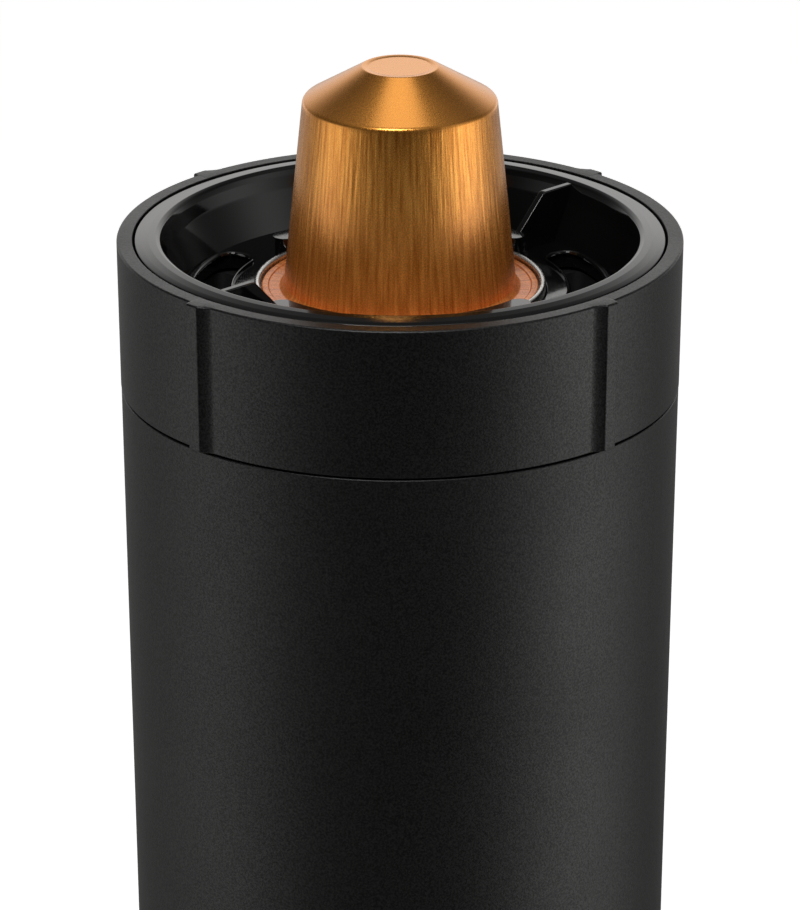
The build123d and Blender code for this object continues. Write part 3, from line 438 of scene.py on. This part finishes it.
def rib_height(degrees):
    """Height in metres of the four mirrored ribs at an angle: a step, a flat crest and a hollow run-out."""
    folded = degrees % 180
    folded = min(folded, 180 - folded)
    if folded <= RIB_START or folded >= RIB_FOOT:
        return 0.0
    if folded >= RIB_CREST_END:
        left = (RIB_FOOT - folded) / (RIB_FOOT - RIB_CREST_END)
        return RIB_CREST_LEFT * left ** RIB_HOLLOW * MM
    (a, low), (b, high) = next(pair for pair in zip(RIB_SHAPE, RIB_SHAPE[1:]) if folded <= pair[1][0])
    return (low + (high - low) * (folded - a) / (b - a)) * MM


def rib_angles():
    """Angles that are close together at the ribs and even elsewhere."""
    inside = [RIB_START + RIB_STEP * k for k in range(RIB_STEPS)]
    close = [start + sign * a for start, sign in ((0, 1), (180, -1), (180, 1), (360, -1)) for a in inside]
    first, last = RIB_START - RIB_MARGIN, RIB_FOOT + RIB_MARGIN
    even = [a for a in even_angles(300) if not first < min(a % 180, 180 - a % 180) < last]
    return sorted(close + even)


def make_collar(material):
    """The tapered collar with its ribs, and the lugs inside it that the lock ring is screwed to."""
    foot_r = RIM_R - COLLAR_TAPER * (RIM_Z - SEAM_Z)
    outline = rounded([
        (COLLAR_BORE, SEAM_Z), (foot_r, SEAM_Z, 0.12 * MM), (RIM_R, RIM_Z, 0.30 * MM),
        (COLLAR_BORE, RIM_Z, 0.12 * MM)], EDGE_STEPS)
    outer_wall = range(1, 1 + 2 * (EDGE_STEPS + 1))

    def ribs(degrees, j):
        return rib_height(degrees) if j in outer_wall else 0.0

    pieces = [lathe("grip_collar_skin", outline, rib_angles(), ribs)]
    lock_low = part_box("lock_ring")[0].z
    for middle in (45, 135, 225, 315):
        lug = arc_outline(LUG_IN_R, COLLAR_BORE + 0.1 * MM, middle, LUG_HALF_ANGLE, 0.4 * MM, 16)
        pieces.append(prism(f"lug_{middle}", lug, lock_low - LUG_HEIGHT, lock_low - 0.02 * MM, 0.1 * MM))
    finish_mesh(joined("grip_collar_skin", pieces), "collar", material, ["grip_collar"])


# ------------------------------------------------------------------ bowl
FLOOR_Z = RIM_Z - 7.4 * MM
FLOOR_UNDER_Z = FLOOR_Z - 2.0 * MM
FLOOR_R = 28.6 * MM
HUB_R = 22.0 * MM
HUB_TOP_R = 21.3 * MM
SEAT_BORE_R = 19.55 * MM
WELL_IN_R = 22.3 * MM
WELL_OUT_R = 28.0 * MM
WELL_HALF_ANGLE = 33
WELL_CORNER = 2.6 * MM
# Round bead and wall of a well: (outwards, height above the floor), in millimetres.
BEAD = (
    (0.50, 0.0), (0.48, 0.05), (0.42, 0.22), (0.31, 0.36), (0.19, 0.40),
    (0.07, 0.36), (0.0, 0.24), (0.0, -1.0), (0.0, -2.0))
LEDGE_TOP_Z = RIM_Z - 4.6 * MM
LEDGE_OUT_R = 21.9 * MM
LEDGE_HALF_ANGLE = 52
# A keying fin from the side: (radius, height over the rim, corner radius), in millimetres.
FIN_SHAPE = (
    (21.8, -8.4), (29.4, -8.4), (32.6, 0.05, 0.3), (26.6, 0.05, 0.9), (25.2, -1.4, 0.8), (21.8, -4.9, 0.4))
FIN_HALF_WIDTH = 0.5 * MM
FIN_EDGE = 0.18 * MM
BOWL_SIDES = 360
HUB_SIDES = 240


def bowl_ring():
    """The bowl's wall and sloping lip, open where the floor meets it."""
    lip_r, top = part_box("bowl")[1].x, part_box("bowl")[1].z
    return lathe("bowl_ring", rounded([
        (FLOOR_R, FLOOR_UNDER_Z), (FLOOR_R + 1.2 * MM, FLOOR_UNDER_Z), (lip_r - 1.5 * MM, RIM_Z - 2.4 * MM),
        (lip_r, RIM_Z - 2.2 * MM), (lip_r, RIM_Z - 0.12 * MM, 0.22 * MM),
        (34.5 * MM, RIM_Z + 0.08 * MM, 0.8 * MM), (33.5 * MM, RIM_Z + 0.27 * MM, 0.8 * MM),
        (32.5 * MM, top, 0.5 * MM), (31.95 * MM, top - 0.2 * MM, 0.6 * MM),
        (31.6 * MM, RIM_Z - 0.7 * MM, 1.2 * MM), (31.05 * MM, RIM_Z - 2.4 * MM, 3.0 * MM),
        (FLOOR_R, FLOOR_Z)], 6), even_angles(BOWL_SIDES), closed=False)


def bowl_hub():
    """The stepped seat in the middle, open where the floor meets it."""
    low_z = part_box("bowl")[0].z
    return lathe("bowl_hub", rounded([
        (HUB_TOP_R, FLOOR_Z), (SEAT_BORE_R, FLOOR_Z, 0.2 * MM), (SEAT_BORE_R, RIM_Z - 10.2 * MM),
        (15 * MM, RIM_Z - 10.2 * MM), (15 * MM, RIM_Z - 12.2 * MM), (3.0 * MM, RIM_Z - 12.2 * MM),
        (3.0 * MM, low_z), (HUB_R, low_z), (HUB_R, FLOOR_UNDER_Z)], 4), even_angles(HUB_SIDES), closed=False)


def bowl_fin(turn):
    """A thin upright plate that points at an angle."""
    fin = prism(f"fin_{turn}", from_rim(FIN_SHAPE, 8), -FIN_HALF_WIDTH, FIN_HALF_WIDTH, FIN_EDGE, FIN_EDGE)
    along = Vector((math.cos(math.radians(turn)), math.sin(math.radians(turn)), 0))
    across = along.cross(Vector((0, 0, 1)))
    fin.matrix_world = Matrix((
        (along.x, 0, across.x, 0), (along.y, 0, across.y, 0), (0, 1, 0, 0), (0, 0, 0, 1)))
    return fin


def make_bowl(material):
    """The bowl, stitched from its wall, seat, floor and wells, with the ledges and fins set into it."""
    wells = [arc_outline(WELL_IN_R, WELL_OUT_R, middle, WELL_HALF_ANGLE, WELL_CORNER) for middle in (0, 180)]
    beads = [grown(well, BEAD[0][0] * MM) for well in wells]
    edge = circle(FLOOR_R, BOWL_SIDES)
    top_loops = [edge, circle(HUB_TOP_R, HUB_SIDES), *beads]
    under_loops = [edge, circle(HUB_R, HUB_SIDES), *wells]
    pieces = [bowl_ring(), bowl_hub()]
    pieces.append(filled("floor_top", top_loops, FLOOR_Z))
    pieces.append(filled("floor_under", under_loops, FLOOR_UNDER_Z, upwards=False))
    for number, well in enumerate(wells):
        pieces.append(swept(f"well_{number}", well, [(a * MM, FLOOR_Z + b * MM) for a, b in BEAD]))
    for middle in (90, 270):
        ledge = arc_outline(SEAT_BORE_R, LEDGE_OUT_R, middle, LEDGE_HALF_ANGLE, 1.1 * MM)
        pieces.append(prism(f"ledge_{middle}", ledge, FLOOR_Z - 0.1 * MM, LEDGE_TOP_Z, 0.25 * MM))
    pieces += [bowl_fin(43), bowl_fin(223)]
    finish_mesh(cleaned(joined("bowl_skin", pieces)), "housing", material, ["bowl"], sharp=35)


# ------------------------------------------------------------------ capsule and its seat ring
# The wrinkles are a sum of waves round the cone: size, count, phase, and then size, count and phase of the
# slower wave that makes each of them uneven.
WRINKLE_WAVES = (
    (1.0, 61, 1.3, 1.8, 4, 0.0), (1.0, 89, 0.4, 2.2, 7, 1.0), (0.8, 127, 2.1, 2.6, 5, 2.0),
    (0.5, 31, 0.7, 0.0, 0, 0.0))


def wrinkle(degrees):
    """A broken pattern of fine upright wrinkles, from about -1 to 1."""
    t = math.radians(degrees)
    fold = 0.0
    for size, count, phase, bend, bend_count, bend_phase in WRINKLE_WAVES:
        fold += size * math.sin(count * t + phase + bend * math.sin(bend_count * t + bend_phase))
    patchy = 0.55 + 0.45 * math.sin(6 * t + 1.9 * math.sin(3 * t + 0.5))
    return 0.45 * fold * patchy


CONE_ROWS = 16
WRINKLE_DEPTH = 0.018 * MM
BASE_R = 15.5 * MM
SHOULDER_R = 12.93 * MM
SHOULDER_Z = RIM_Z + 19.03 * MM
CROWN_R = 5.07 * MM
FLANGE_TOP = RIM_Z - 6.7 * MM


def capsule_outline():
    """The capsule's half outline from the lid's middle to the crown's, and the numbers of its cone points."""
    low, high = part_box("capsule_shell")
    lid_z, flange_r, crown_z = low.z + 0.05 * MM, high.x, high.z
    outline = [(0.0, lid_z)]
    outline += rounded([
        (flange_r - 0.5 * MM, lid_z), (flange_r, lid_z, 0.25 * MM), (flange_r, FLANGE_TOP, 0.28 * MM),
        (flange_r - 0.9 * MM, FLANGE_TOP, 0.3 * MM), (flange_r - 1.0 * MM, FLANGE_TOP - 0.22 * MM, 0.2 * MM),
        (BASE_R + 0.55 * MM, FLANGE_TOP - 0.28 * MM, 0.3 * MM), (BASE_R, FLANGE_TOP + 0.4 * MM, 0.5 * MM),
        (BASE_R - 0.05 * MM, FLANGE_TOP + 0.9 * MM)], 5)
    first_cone = len(outline)
    for row in range(1, CONE_ROWS):
        t = row / CONE_ROWS
        rise = FLANGE_TOP + 0.9 * MM + (SHOULDER_Z - FLANGE_TOP - 1.75 * MM) * t
        outline.append((BASE_R - 0.05 * MM + (SHOULDER_R - BASE_R + 0.135 * MM) * t, rise))
    last_cone = len(outline)
    outline += rounded([
        (SHOULDER_R + 0.085 * MM, SHOULDER_Z - 0.85 * MM), (SHOULDER_R, SHOULDER_Z, 0.85 * MM),
        (CROWN_R, crown_z, 0.4 * MM), (CROWN_R - 0.7 * MM, crown_z - 0.02 * MM),
        (CROWN_R - 0.85 * MM, crown_z - 0.08 * MM), (CROWN_R - 1.0 * MM, crown_z - 0.08 * MM),
        (0.0, crown_z - 0.08 * MM)], 7)
    return outline, first_cone, last_cone


def make_capsule(material):
    """The capsule's shell, with wrinkles that fade out towards both ends of its cone."""
    outline, first_cone, last_cone = capsule_outline()

    def ripple(degrees, j):
        if not first_cone <= j < last_cone:
            return 0.0
        t = (j - first_cone) / (last_cone - first_cone - 1)
        strength = min(1.0, 4 * t) * min(1.0, 5 * (1 - t))
        drift = 3 * math.sin(2.2 * t + 0.6)
        return WRINKLE_DEPTH * strength * wrinkle(degrees + drift)

    shell = lathe("capsule_skin", outline, even_angles(1200), ripple)
    finish_mesh(shell, "capsule", material, ["capsule_shell"], sharp=50)


def make_seat_ring(material):
    """The steel ring round the capsule, with a rounded edge and a flat plate under the flange."""
    low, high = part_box("seat_ring")
    in_r = high.x - 0.76 * MM
    plate_z = low.z + 0.8 * MM
    ring = lathe("seat_ring_skin", rounded([
        (15.2 * MM, low.z), (high.x, low.z), (high.x, high.z, 0.37 * MM), (in_r, high.z, 0.37 * MM),
        (in_r, plate_z, 0.2 * MM), (15.2 * MM, plate_z)], 8), even_angles(300))
    finish_mesh(ring, "housing", material, ["seat_ring"])


# ------------------------------------------------------------------ springs wound to fill their boxes
SPRINGS = {"pump_spring": (4, 0.5 * MM), "valve_spring": (3, 0.18 * MM)}  # turns, wire radius
WIRE_SIDES = 12
STEPS_PER_TURN = 40


def wound_wire(name, low, high, turns, wire_r):
    """A helix of round wire that fills a box."""
    middle = (low + high) / 2
    coil_r = (high.x - low.x) / 2 - wire_r
    rise = high.z - low.z - 2 * wire_r
    steps = turns * STEPS_PER_TURN
    verts, faces = [], []
    for i in range(steps + 1):
        turn = math.tau * i / STEPS_PER_TURN
        outwards = Vector((math.cos(turn), math.sin(turn), 0))
        along = Vector((-coil_r * math.sin(turn), coil_r * math.cos(turn), rise / (math.tau * turns)))
        upwards = outwards.cross(along).normalized()
        centre = Vector((middle.x, middle.y, low.z + wire_r + rise * i / steps)) + outwards * coil_r
        for k in range(WIRE_SIDES):
            side = math.tau * k / WIRE_SIDES
            verts.append(centre + (outwards * math.cos(side) + upwards * math.sin(side)) * wire_r)
    for i in range(steps):
        for k in range(WIRE_SIDES):
            here, there = i * WIRE_SIDES, (i + 1) * WIRE_SIDES
            ahead = (k + 1) % WIRE_SIDES
            faces.append((here + k, there + k, there + ahead, here + ahead))
    faces.append(tuple(range(WIRE_SIDES)))
    faces.append(tuple(steps * WIRE_SIDES + k for k in range(WIRE_SIDES)))
    return cleaned(new_object(name, verts, faces))


def make_springs(materials):
    """Both springs, each wound as a helix that fills its part's box."""
    slots = {part["node"]: part["material_slot"] for part in frame["record"]["subparts"]}
    for joint in frame["record"]["behaviour"]["joints"]:
        for item in joint.get("deforming_nodes", ()):
            node, fixed_z = item["node"], item["fixed_end_z_m"]
            low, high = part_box(node)
            turns, wire_r = SPRINGS[node]
            spring = wound_wire(f"{node}_wire", low, high, turns, wire_r)
            finish_mesh(spring, "housing", materials[slots[node]], [node])
            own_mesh(spring)


# ------------------------------------------------------------------ materials of the shown pieces
def body_plastic(name, grey, rough_low, rough_high, grain_depth):
    """Black moulded plastic with a fine spark-eroded grain that glints a little."""
    s = Shader(name)
    coords = s.object_coords()
    grain = s.noise(coords, 3600, 3.0, 0.65)
    soft = s.noise(coords, 45, 3.0)
    s.feed("Base Color", s.colours(s.remap(grain, 0, 1, 0.4, 0.6), (grey * 0.4,) * 3, (grey * 1.6,) * 3))
    s.feed("Roughness", s.remap(soft, rough_low, rough_high))
    s.feed("Specular IOR Level", s.remap(grain, 0.36, 0.64, 0.38, 0.62))
    s.feed("Normal", s.bump(grain, 0.8, grain_depth))
    return s.material


def capsule_metal():
    """Orange-gold anodised aluminium with upright draw marks on the cone, painted shade and highlight along
    them, a fine speckle, and a painted orange reflection towards the foot.
    """
    s = Shader("capsule_gold")
    coords = s.node("ShaderNodeTexCoord")
    split = s.node("ShaderNodeSeparateXYZ")
    s.link(coords.outputs["Object"], split.inputs["Vector"])
    height = split.outputs["Z"]
    angle = s.node("ShaderNodeMath", operation="ARCTAN2")
    s.link(split.outputs["Y"], angle.inputs[0])
    s.link(split.outputs["X"], angle.inputs[1])
    around = s.node("ShaderNodeCombineXYZ")
    s.link(angle.outputs["Value"], around.inputs["X"])
    s.link(height, around.inputs["Z"])
    stretched = s.node("ShaderNodeMapping")
    stretched.inputs["Scale"].default_value = (30, 1, 110)
    s.link(around.outputs["Vector"], stretched.inputs["Vector"])
    streaks = s.noise(stretched.outputs["Vector"], 1.0, 5.0, 0.62)
    speckle = s.noise(coords.outputs["Object"], 5200, 3.0, 0.7)

    # Streaks colour the cone as painted shade and highlight along its wrinkles, and the speckle colours the
    # dome above it.
    on_cone = s.remap(height, 1.0, 0.0, RIM_Z + 18.2 * MM, RIM_Z + 19.2 * MM)
    speckle_and_wrinkle_shade = s.node("ShaderNodeMix", data_type="FLOAT")
    s.link(on_cone, speckle_and_wrinkle_shade.inputs["Factor"])
    s.link(s.remap(speckle, 0.25, 0.75), speckle_and_wrinkle_shade.inputs["A"])
    s.link(s.remap(streaks, 0, 1, 0.36, 0.62), speckle_and_wrinkle_shade.inputs["B"])
    # Dark and light gold along the streaks is painted shade and highlight of the wrinkles.
    gold = s.colours(speckle_and_wrinkle_shade.outputs["Result"], (0.56, 0.19, 0.022), (0.96, 0.42, 0.080))

    # Painted reflection: the gold is redder towards the foot, standing in for orange light bounced off the
    # flange, and it is less metallic there.
    painted_warm_bounce = s.node("ShaderNodeMix", data_type="RGBA", blend_type="MULTIPLY")
    s.link(s.remap(height, 1.0, 0.0, RIM_Z - 6 * MM, RIM_Z + 9 * MM), painted_warm_bounce.inputs["Factor"])
    s.link(gold, painted_warm_bounce.inputs["A"])
    # Tint of the painted reflection from the flange.
    painted_warm_bounce.inputs["B"].default_value = (1.0, 0.74, 0.72, 1)
    s.feed("Base Color", painted_warm_bounce.outputs["Result"])
    s.feed("Metallic", s.remap(height, 0.26, 0.97, RIM_Z - 7 * MM, RIM_Z + 22 * MM))

    s.feed("Roughness", s.remap(speckle, 0.23, 0.31))
    relief = s.node("ShaderNodeMath", operation="MULTIPLY")
    s.link(streaks, relief.inputs[0])
    s.link(on_cone, relief.inputs[1])
    fine = s.bump(speckle, 0.35, 0.000015)
    s.feed("Normal", s.bump(relief.outputs["Value"], 0.6, 0.00014, fine))
    s.set(Coat_Weight=0.25, Coat_Roughness=0.2, Coat_IOR=1.5)
    return s.material


def satin_steel():
    """Spun stainless steel: rings of fine marks and small gloss changes."""
    s = Shader("steel")
    marks = s.noise(s.object_coords((90, 90, 7000)), 1.0, 3.0)
    specks = s.noise(s.object_coords(), 2600, 2.0)
    s.feed("Base Color", s.colours(s.remap(marks, 0, 1), (0.56, 0.545, 0.52), (0.74, 0.725, 0.70)))
    s.feed("Roughness", s.remap(specks, 0.2, 0.34))
    s.feed("Normal", s.bump(marks, 0.35, 0.000004))
    s.set(Metallic=1.0)
    return s.material


def coffee_grounds():
    s = Shader("coffee")
    crumbs = s.noise(s.object_coords(), 1900, 4.0, 0.7)
    s.feed("Base Color", s.colours(s.remap(crumbs, 0, 1), (0.018, 0.008, 0.004), (0.085, 0.038, 0.017)))
    s.feed("Roughness", s.remap(crumbs, 0.95, 0.7))
    s.feed("Normal", s.bump(crumbs, 1.0, 0.0004))
    return s.material


def wound_copper():
    """Enamelled copper wire, wound in even turns up the coil."""
    s = Shader("copper")
    turns = s.node("ShaderNodeTexWave", wave_type="BANDS", bands_direction="Z", wave_profile="SIN")
    turns.inputs["Scale"].default_value = 640
    turns.inputs["Distortion"].default_value = 0.15
    s.link(s.object_coords(), turns.inputs["Vector"])
    patches = s.noise(s.object_coords(), 350, 2.0)
    s.feed("Base Color", s.colours(patches, (0.50, 0.155, 0.055), (0.68, 0.27, 0.11)))
    s.feed("Roughness", s.remap(patches, 0.24, 0.36))
    s.feed("Normal", s.bump(turns.outputs["Fac"], 0.8, 0.00012))
    s.set(Metallic=1.0)
    return s.material


def circuit_board():
    """Green solder mask with faint tracks."""
    s = Shader("board_green")
    tracks = s.node("ShaderNodeTexBrick", offset=0.5)
    tracks.inputs["Scale"].default_value = 260
    tracks.inputs["Mortar Size"].default_value = 0.03
    tracks.inputs["Color1"].default_value = (0.008, 0.085, 0.03, 1)
    tracks.inputs["Color2"].default_value = (0.006, 0.065, 0.024, 1)
    tracks.inputs["Mortar"].default_value = (0.02, 0.15, 0.055, 1)
    swapped = s.node("ShaderNodeMapping")
    swapped.inputs["Rotation"].default_value = (math.radians(90), 0, 0)
    s.link(s.object_coords(), swapped.inputs["Vector"])
    s.link(swapped.outputs["Vector"], tracks.inputs["Vector"])
    s.feed("Base Color", tracks.outputs["Color"])
    s.feed("Roughness", s.remap(s.noise(s.object_coords(), 700), 0.3, 0.42))
    return s.material


def frosted_lens():
    """Milky light ring, unlit."""
    s = Shader("lens")
    haze = s.noise(s.object_coords(), 900, 3.0)
    s.feed("Base Color", s.colours(s.remap(haze, 0, 1), (0.50, 0.51, 0.52), (0.62, 0.63, 0.64)))
    s.feed("Roughness", s.remap(haze, 0.28, 0.4))
    s.set(Subsurface_Weight=0.15, Subsurface_Scale=0.001)
    return s.material


def brass_metal():
    s = Shader("brass")
    marks = s.noise(s.object_coords(), 2200, 4.0)
    s.feed("Base Color", s.colours(s.remap(marks, 0, 1), (0.58, 0.40, 0.14), (0.74, 0.54, 0.22)))
    s.feed("Roughness", s.remap(marks, 0.24, 0.38))
    s.set(Metallic=1.0)
    return s.material


def make_materials():
    """One material for each slot of the record."""
    return {
        "shell_matte": body_plastic("shell_matte", 0.0022, 0.40, 0.47, 0.00004),
        "collar_matte": body_plastic("collar_matte", 0.0022, 0.36, 0.43, 0.00004),
        "bowl_gloss": polished_plastic("bowl_gloss", (0.0036,) * 3, (0.0052,) * 3, 0.05, 0.09),
        "steel": satin_steel(),
        "plate_steel": turned_metal("plate_steel", (0.50, 0.50, 0.49), (0.64, 0.63, 0.62), 0.3, 0.42),
        "capsule_gold": capsule_metal(),
        "foil": turned_metal("foil", (0.66, 0.66, 0.65), (0.82, 0.81, 0.80), 0.25, 0.4, 0.00001),
        "coffee": coffee_grounds(),
        "rubber_black": soft_rubber("rubber_black", (0.010,) * 3, (0.020,) * 3, 0.72),
        "silicone": soft_rubber("silicone", (0.42, 0.41, 0.39), (0.52, 0.51, 0.48), 0.55),
        "nylon": grained_plastic("nylon", (0.035,) * 3, (0.055,) * 3, 0.42, 0.55, 0.0004, 0.00001),
        "deck_plastic": grained_plastic(
            "deck_plastic", (0.012,) * 3, (0.020,) * 3, 0.38, 0.5, 0.0003, 0.000008),
        "brass": brass_metal(),
        "copper": wound_copper(),
        "screw_steel": turned_metal("screw_steel", (0.42, 0.42, 0.43), (0.56, 0.56, 0.57), 0.28, 0.4),
        "board_green": circuit_board(),
        "component_black": grained_plastic(
            "component_black", (0.014,) * 3, (0.024,) * 3, 0.35, 0.5, 0.0002, 0.000006),
        "component_silver": turned_metal(
            "component_silver", (0.60, 0.60, 0.61), (0.74, 0.74, 0.75), 0.25, 0.36),
        "lens": frosted_lens(),
        "button_matte": body_plastic("button_matte", 0.0085, 0.36, 0.46, 0.00001),
        "lead_red": grained_plastic(
            "lead_red", (0.42, 0.018, 0.014), (0.52, 0.03, 0.02), 0.35, 0.5, 0.0005, 0.000006),
        "lead_black": grained_plastic(
            "lead_black", (0.012,) * 3, (0.02,) * 3, 0.35, 0.5, 0.0005, 0.000006),
    }


REBUILT = ("grip_collar", "bowl", "capsule_shell", "seat_ring", *SPRINGS)


def dress_nodes(materials):
    """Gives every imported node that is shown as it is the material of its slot."""
    for part in frame["record"]["subparts"]:
        node = part["node"]
        if node in REBUILT:
            continue
        obj = frame["nodes"][node]
        obj.data.materials.clear()
        obj.data.materials.append(materials[part["material_slot"]])


# ------------------------------------------------------------------ floor, world and lights
FLOOR_HALF = 3.0
FLOOR_GLOW = 0.74


def make_floor():
    """A wide pale surface with a very faint mottle."""
    corners = [(x * FLOOR_HALF, y * FLOOR_HALF, 0) for x, y in ((-1, -1), (1, -1), (1, 1), (-1, 1))]
    floor = new_object("floor", corners, [(0, 1, 2, 3)])
    s = Shader("floor_paper")
    mottle = s.noise(s.object_coords(), 9, 3.0)
    s.feed("Base Color", s.colours(s.remap(mottle, 0, 1), (0.84,) * 3, (0.87,) * 3))
    s.set(Roughness=0.9, Emission_Color=(1, 1, 1, 1), Emission_Strength=FLOOR_GLOW, Specular_IOR_Level=0.1)
    floor.data.materials.append(s.material)
    floor.visible_glossy = False


SURROUND = 0.012  # brightness away from the patches
PATCH_FALLOFF = 0.7
# Soft patches of the surroundings: bearing from the front towards +X and height in degrees, half widths in
# degrees, and brightness.
SOFT_PATCHES = (
    (77, -19, 23, 14, 1.55),
    (80, -4, 19, 12, 1.20),
    (-78, -20, 25, 13, 0.85),
    (-80, -4, 18, 11, 0.95),
    (120, -27, 24, 12, 0.10),
    (-128, -27, 24, 12, 0.17),
    (180, -22, 20, 14, 0.22),
    (178, 17, 30, 12, 1.35),
    (150, -4, 20, 8, 1.20),
    (-150, -4, 20, 8, 1.10),
    (72, 24, 18, 12, 0.70),
    (0, 68, 180, 20, 0.30),
    (0, -64, 200, 18, 0.30),
)


def make_world():
    """A studio room as soft bright patches on a dark surround."""
    world = bpy.data.worlds.new("studio")
    world.use_nodes = True
    scene.world = world
    tree = world.node_tree
    background = tree.nodes["Background"]

    def math_node(operation, first, second=None):
        made = tree.nodes.new("ShaderNodeMath")
        made.operation = operation
        for slot, value in enumerate((first, second)):
            if value is None:
                continue
            if isinstance(value, (int, float)):
                made.inputs[slot].default_value = value
            else:
                tree.links.new(value, made.inputs[slot])
        return made.outputs["Value"]

    coords = tree.nodes.new("ShaderNodeTexCoord")
    split = tree.nodes.new("ShaderNodeSeparateXYZ")
    tree.links.new(coords.outputs["Generated"], split.inputs["Vector"])
    x, y, z = (split.outputs[axis] for axis in "XYZ")
    bearing = math_node("MULTIPLY", math_node("ARCTAN2", x, math_node("MULTIPLY", y, -1.0)), 180 / math.pi)
    height = math_node("MULTIPLY", math_node("ARCSINE", z), 180 / math.pi)
    total = SURROUND
    for turn, lift, wide, tall, strength in SOFT_PATCHES:
        apart = math_node("ABSOLUTE", math_node("SUBTRACT", bearing, float(turn)))
        wrapped = math_node("MINIMUM", apart, math_node("SUBTRACT", 360.0, apart))
        across = math_node("DIVIDE", wrapped, float(wide))
        up = math_node("DIVIDE", math_node("SUBTRACT", height, float(lift)), float(tall))
        square = math_node("ADD", math_node("MULTIPLY", across, across), math_node("MULTIPLY", up, up))
        falloff = math_node("EXPONENT", math_node("MULTIPLY", square, -PATCH_FALLOFF))
        total = math_node("ADD", math_node("MULTIPLY", falloff, strength), total)
    tree.links.new(total, background.inputs["Strength"])
    background.inputs["Color"].default_value = (1.0, 0.99, 0.975, 1)


def make_light(name, place, size, power):
    """A soft rectangular light that faces the middle of the rim."""
    data = bpy.data.lights.new(name, "AREA")
    data.shape = "RECTANGLE"
    data.size, data.size_y = size
    data.energy = power
    light = linked(name, data)
    light.location = place
    light.rotation_euler = (Vector((0, 0, RIM_Z)) - Vector(place)).to_track_quat("-Z", "Y").to_euler()


def make_lights():
    make_light("overhead", (0.0, 0.11, 0.95), (0.34, 0.34), 0.5)
    make_light("front_key", (-0.10, -0.46, 0.76), (0.30, 0.20), 2.4)


# ------------------------------------------------------------------ assemble
make_camera()
materials = make_materials()
make_collar(materials["collar_matte"])
make_bowl(materials["bowl_gloss"])
make_capsule(materials["capsule_gold"])
make_seat_ring(materials["steel"])
make_springs(materials)
dress_nodes(materials)
make_floor()
make_world()
make_lights()
scene.view_settings.view_transform = "Standard"
scene.view_settings.look = "None"
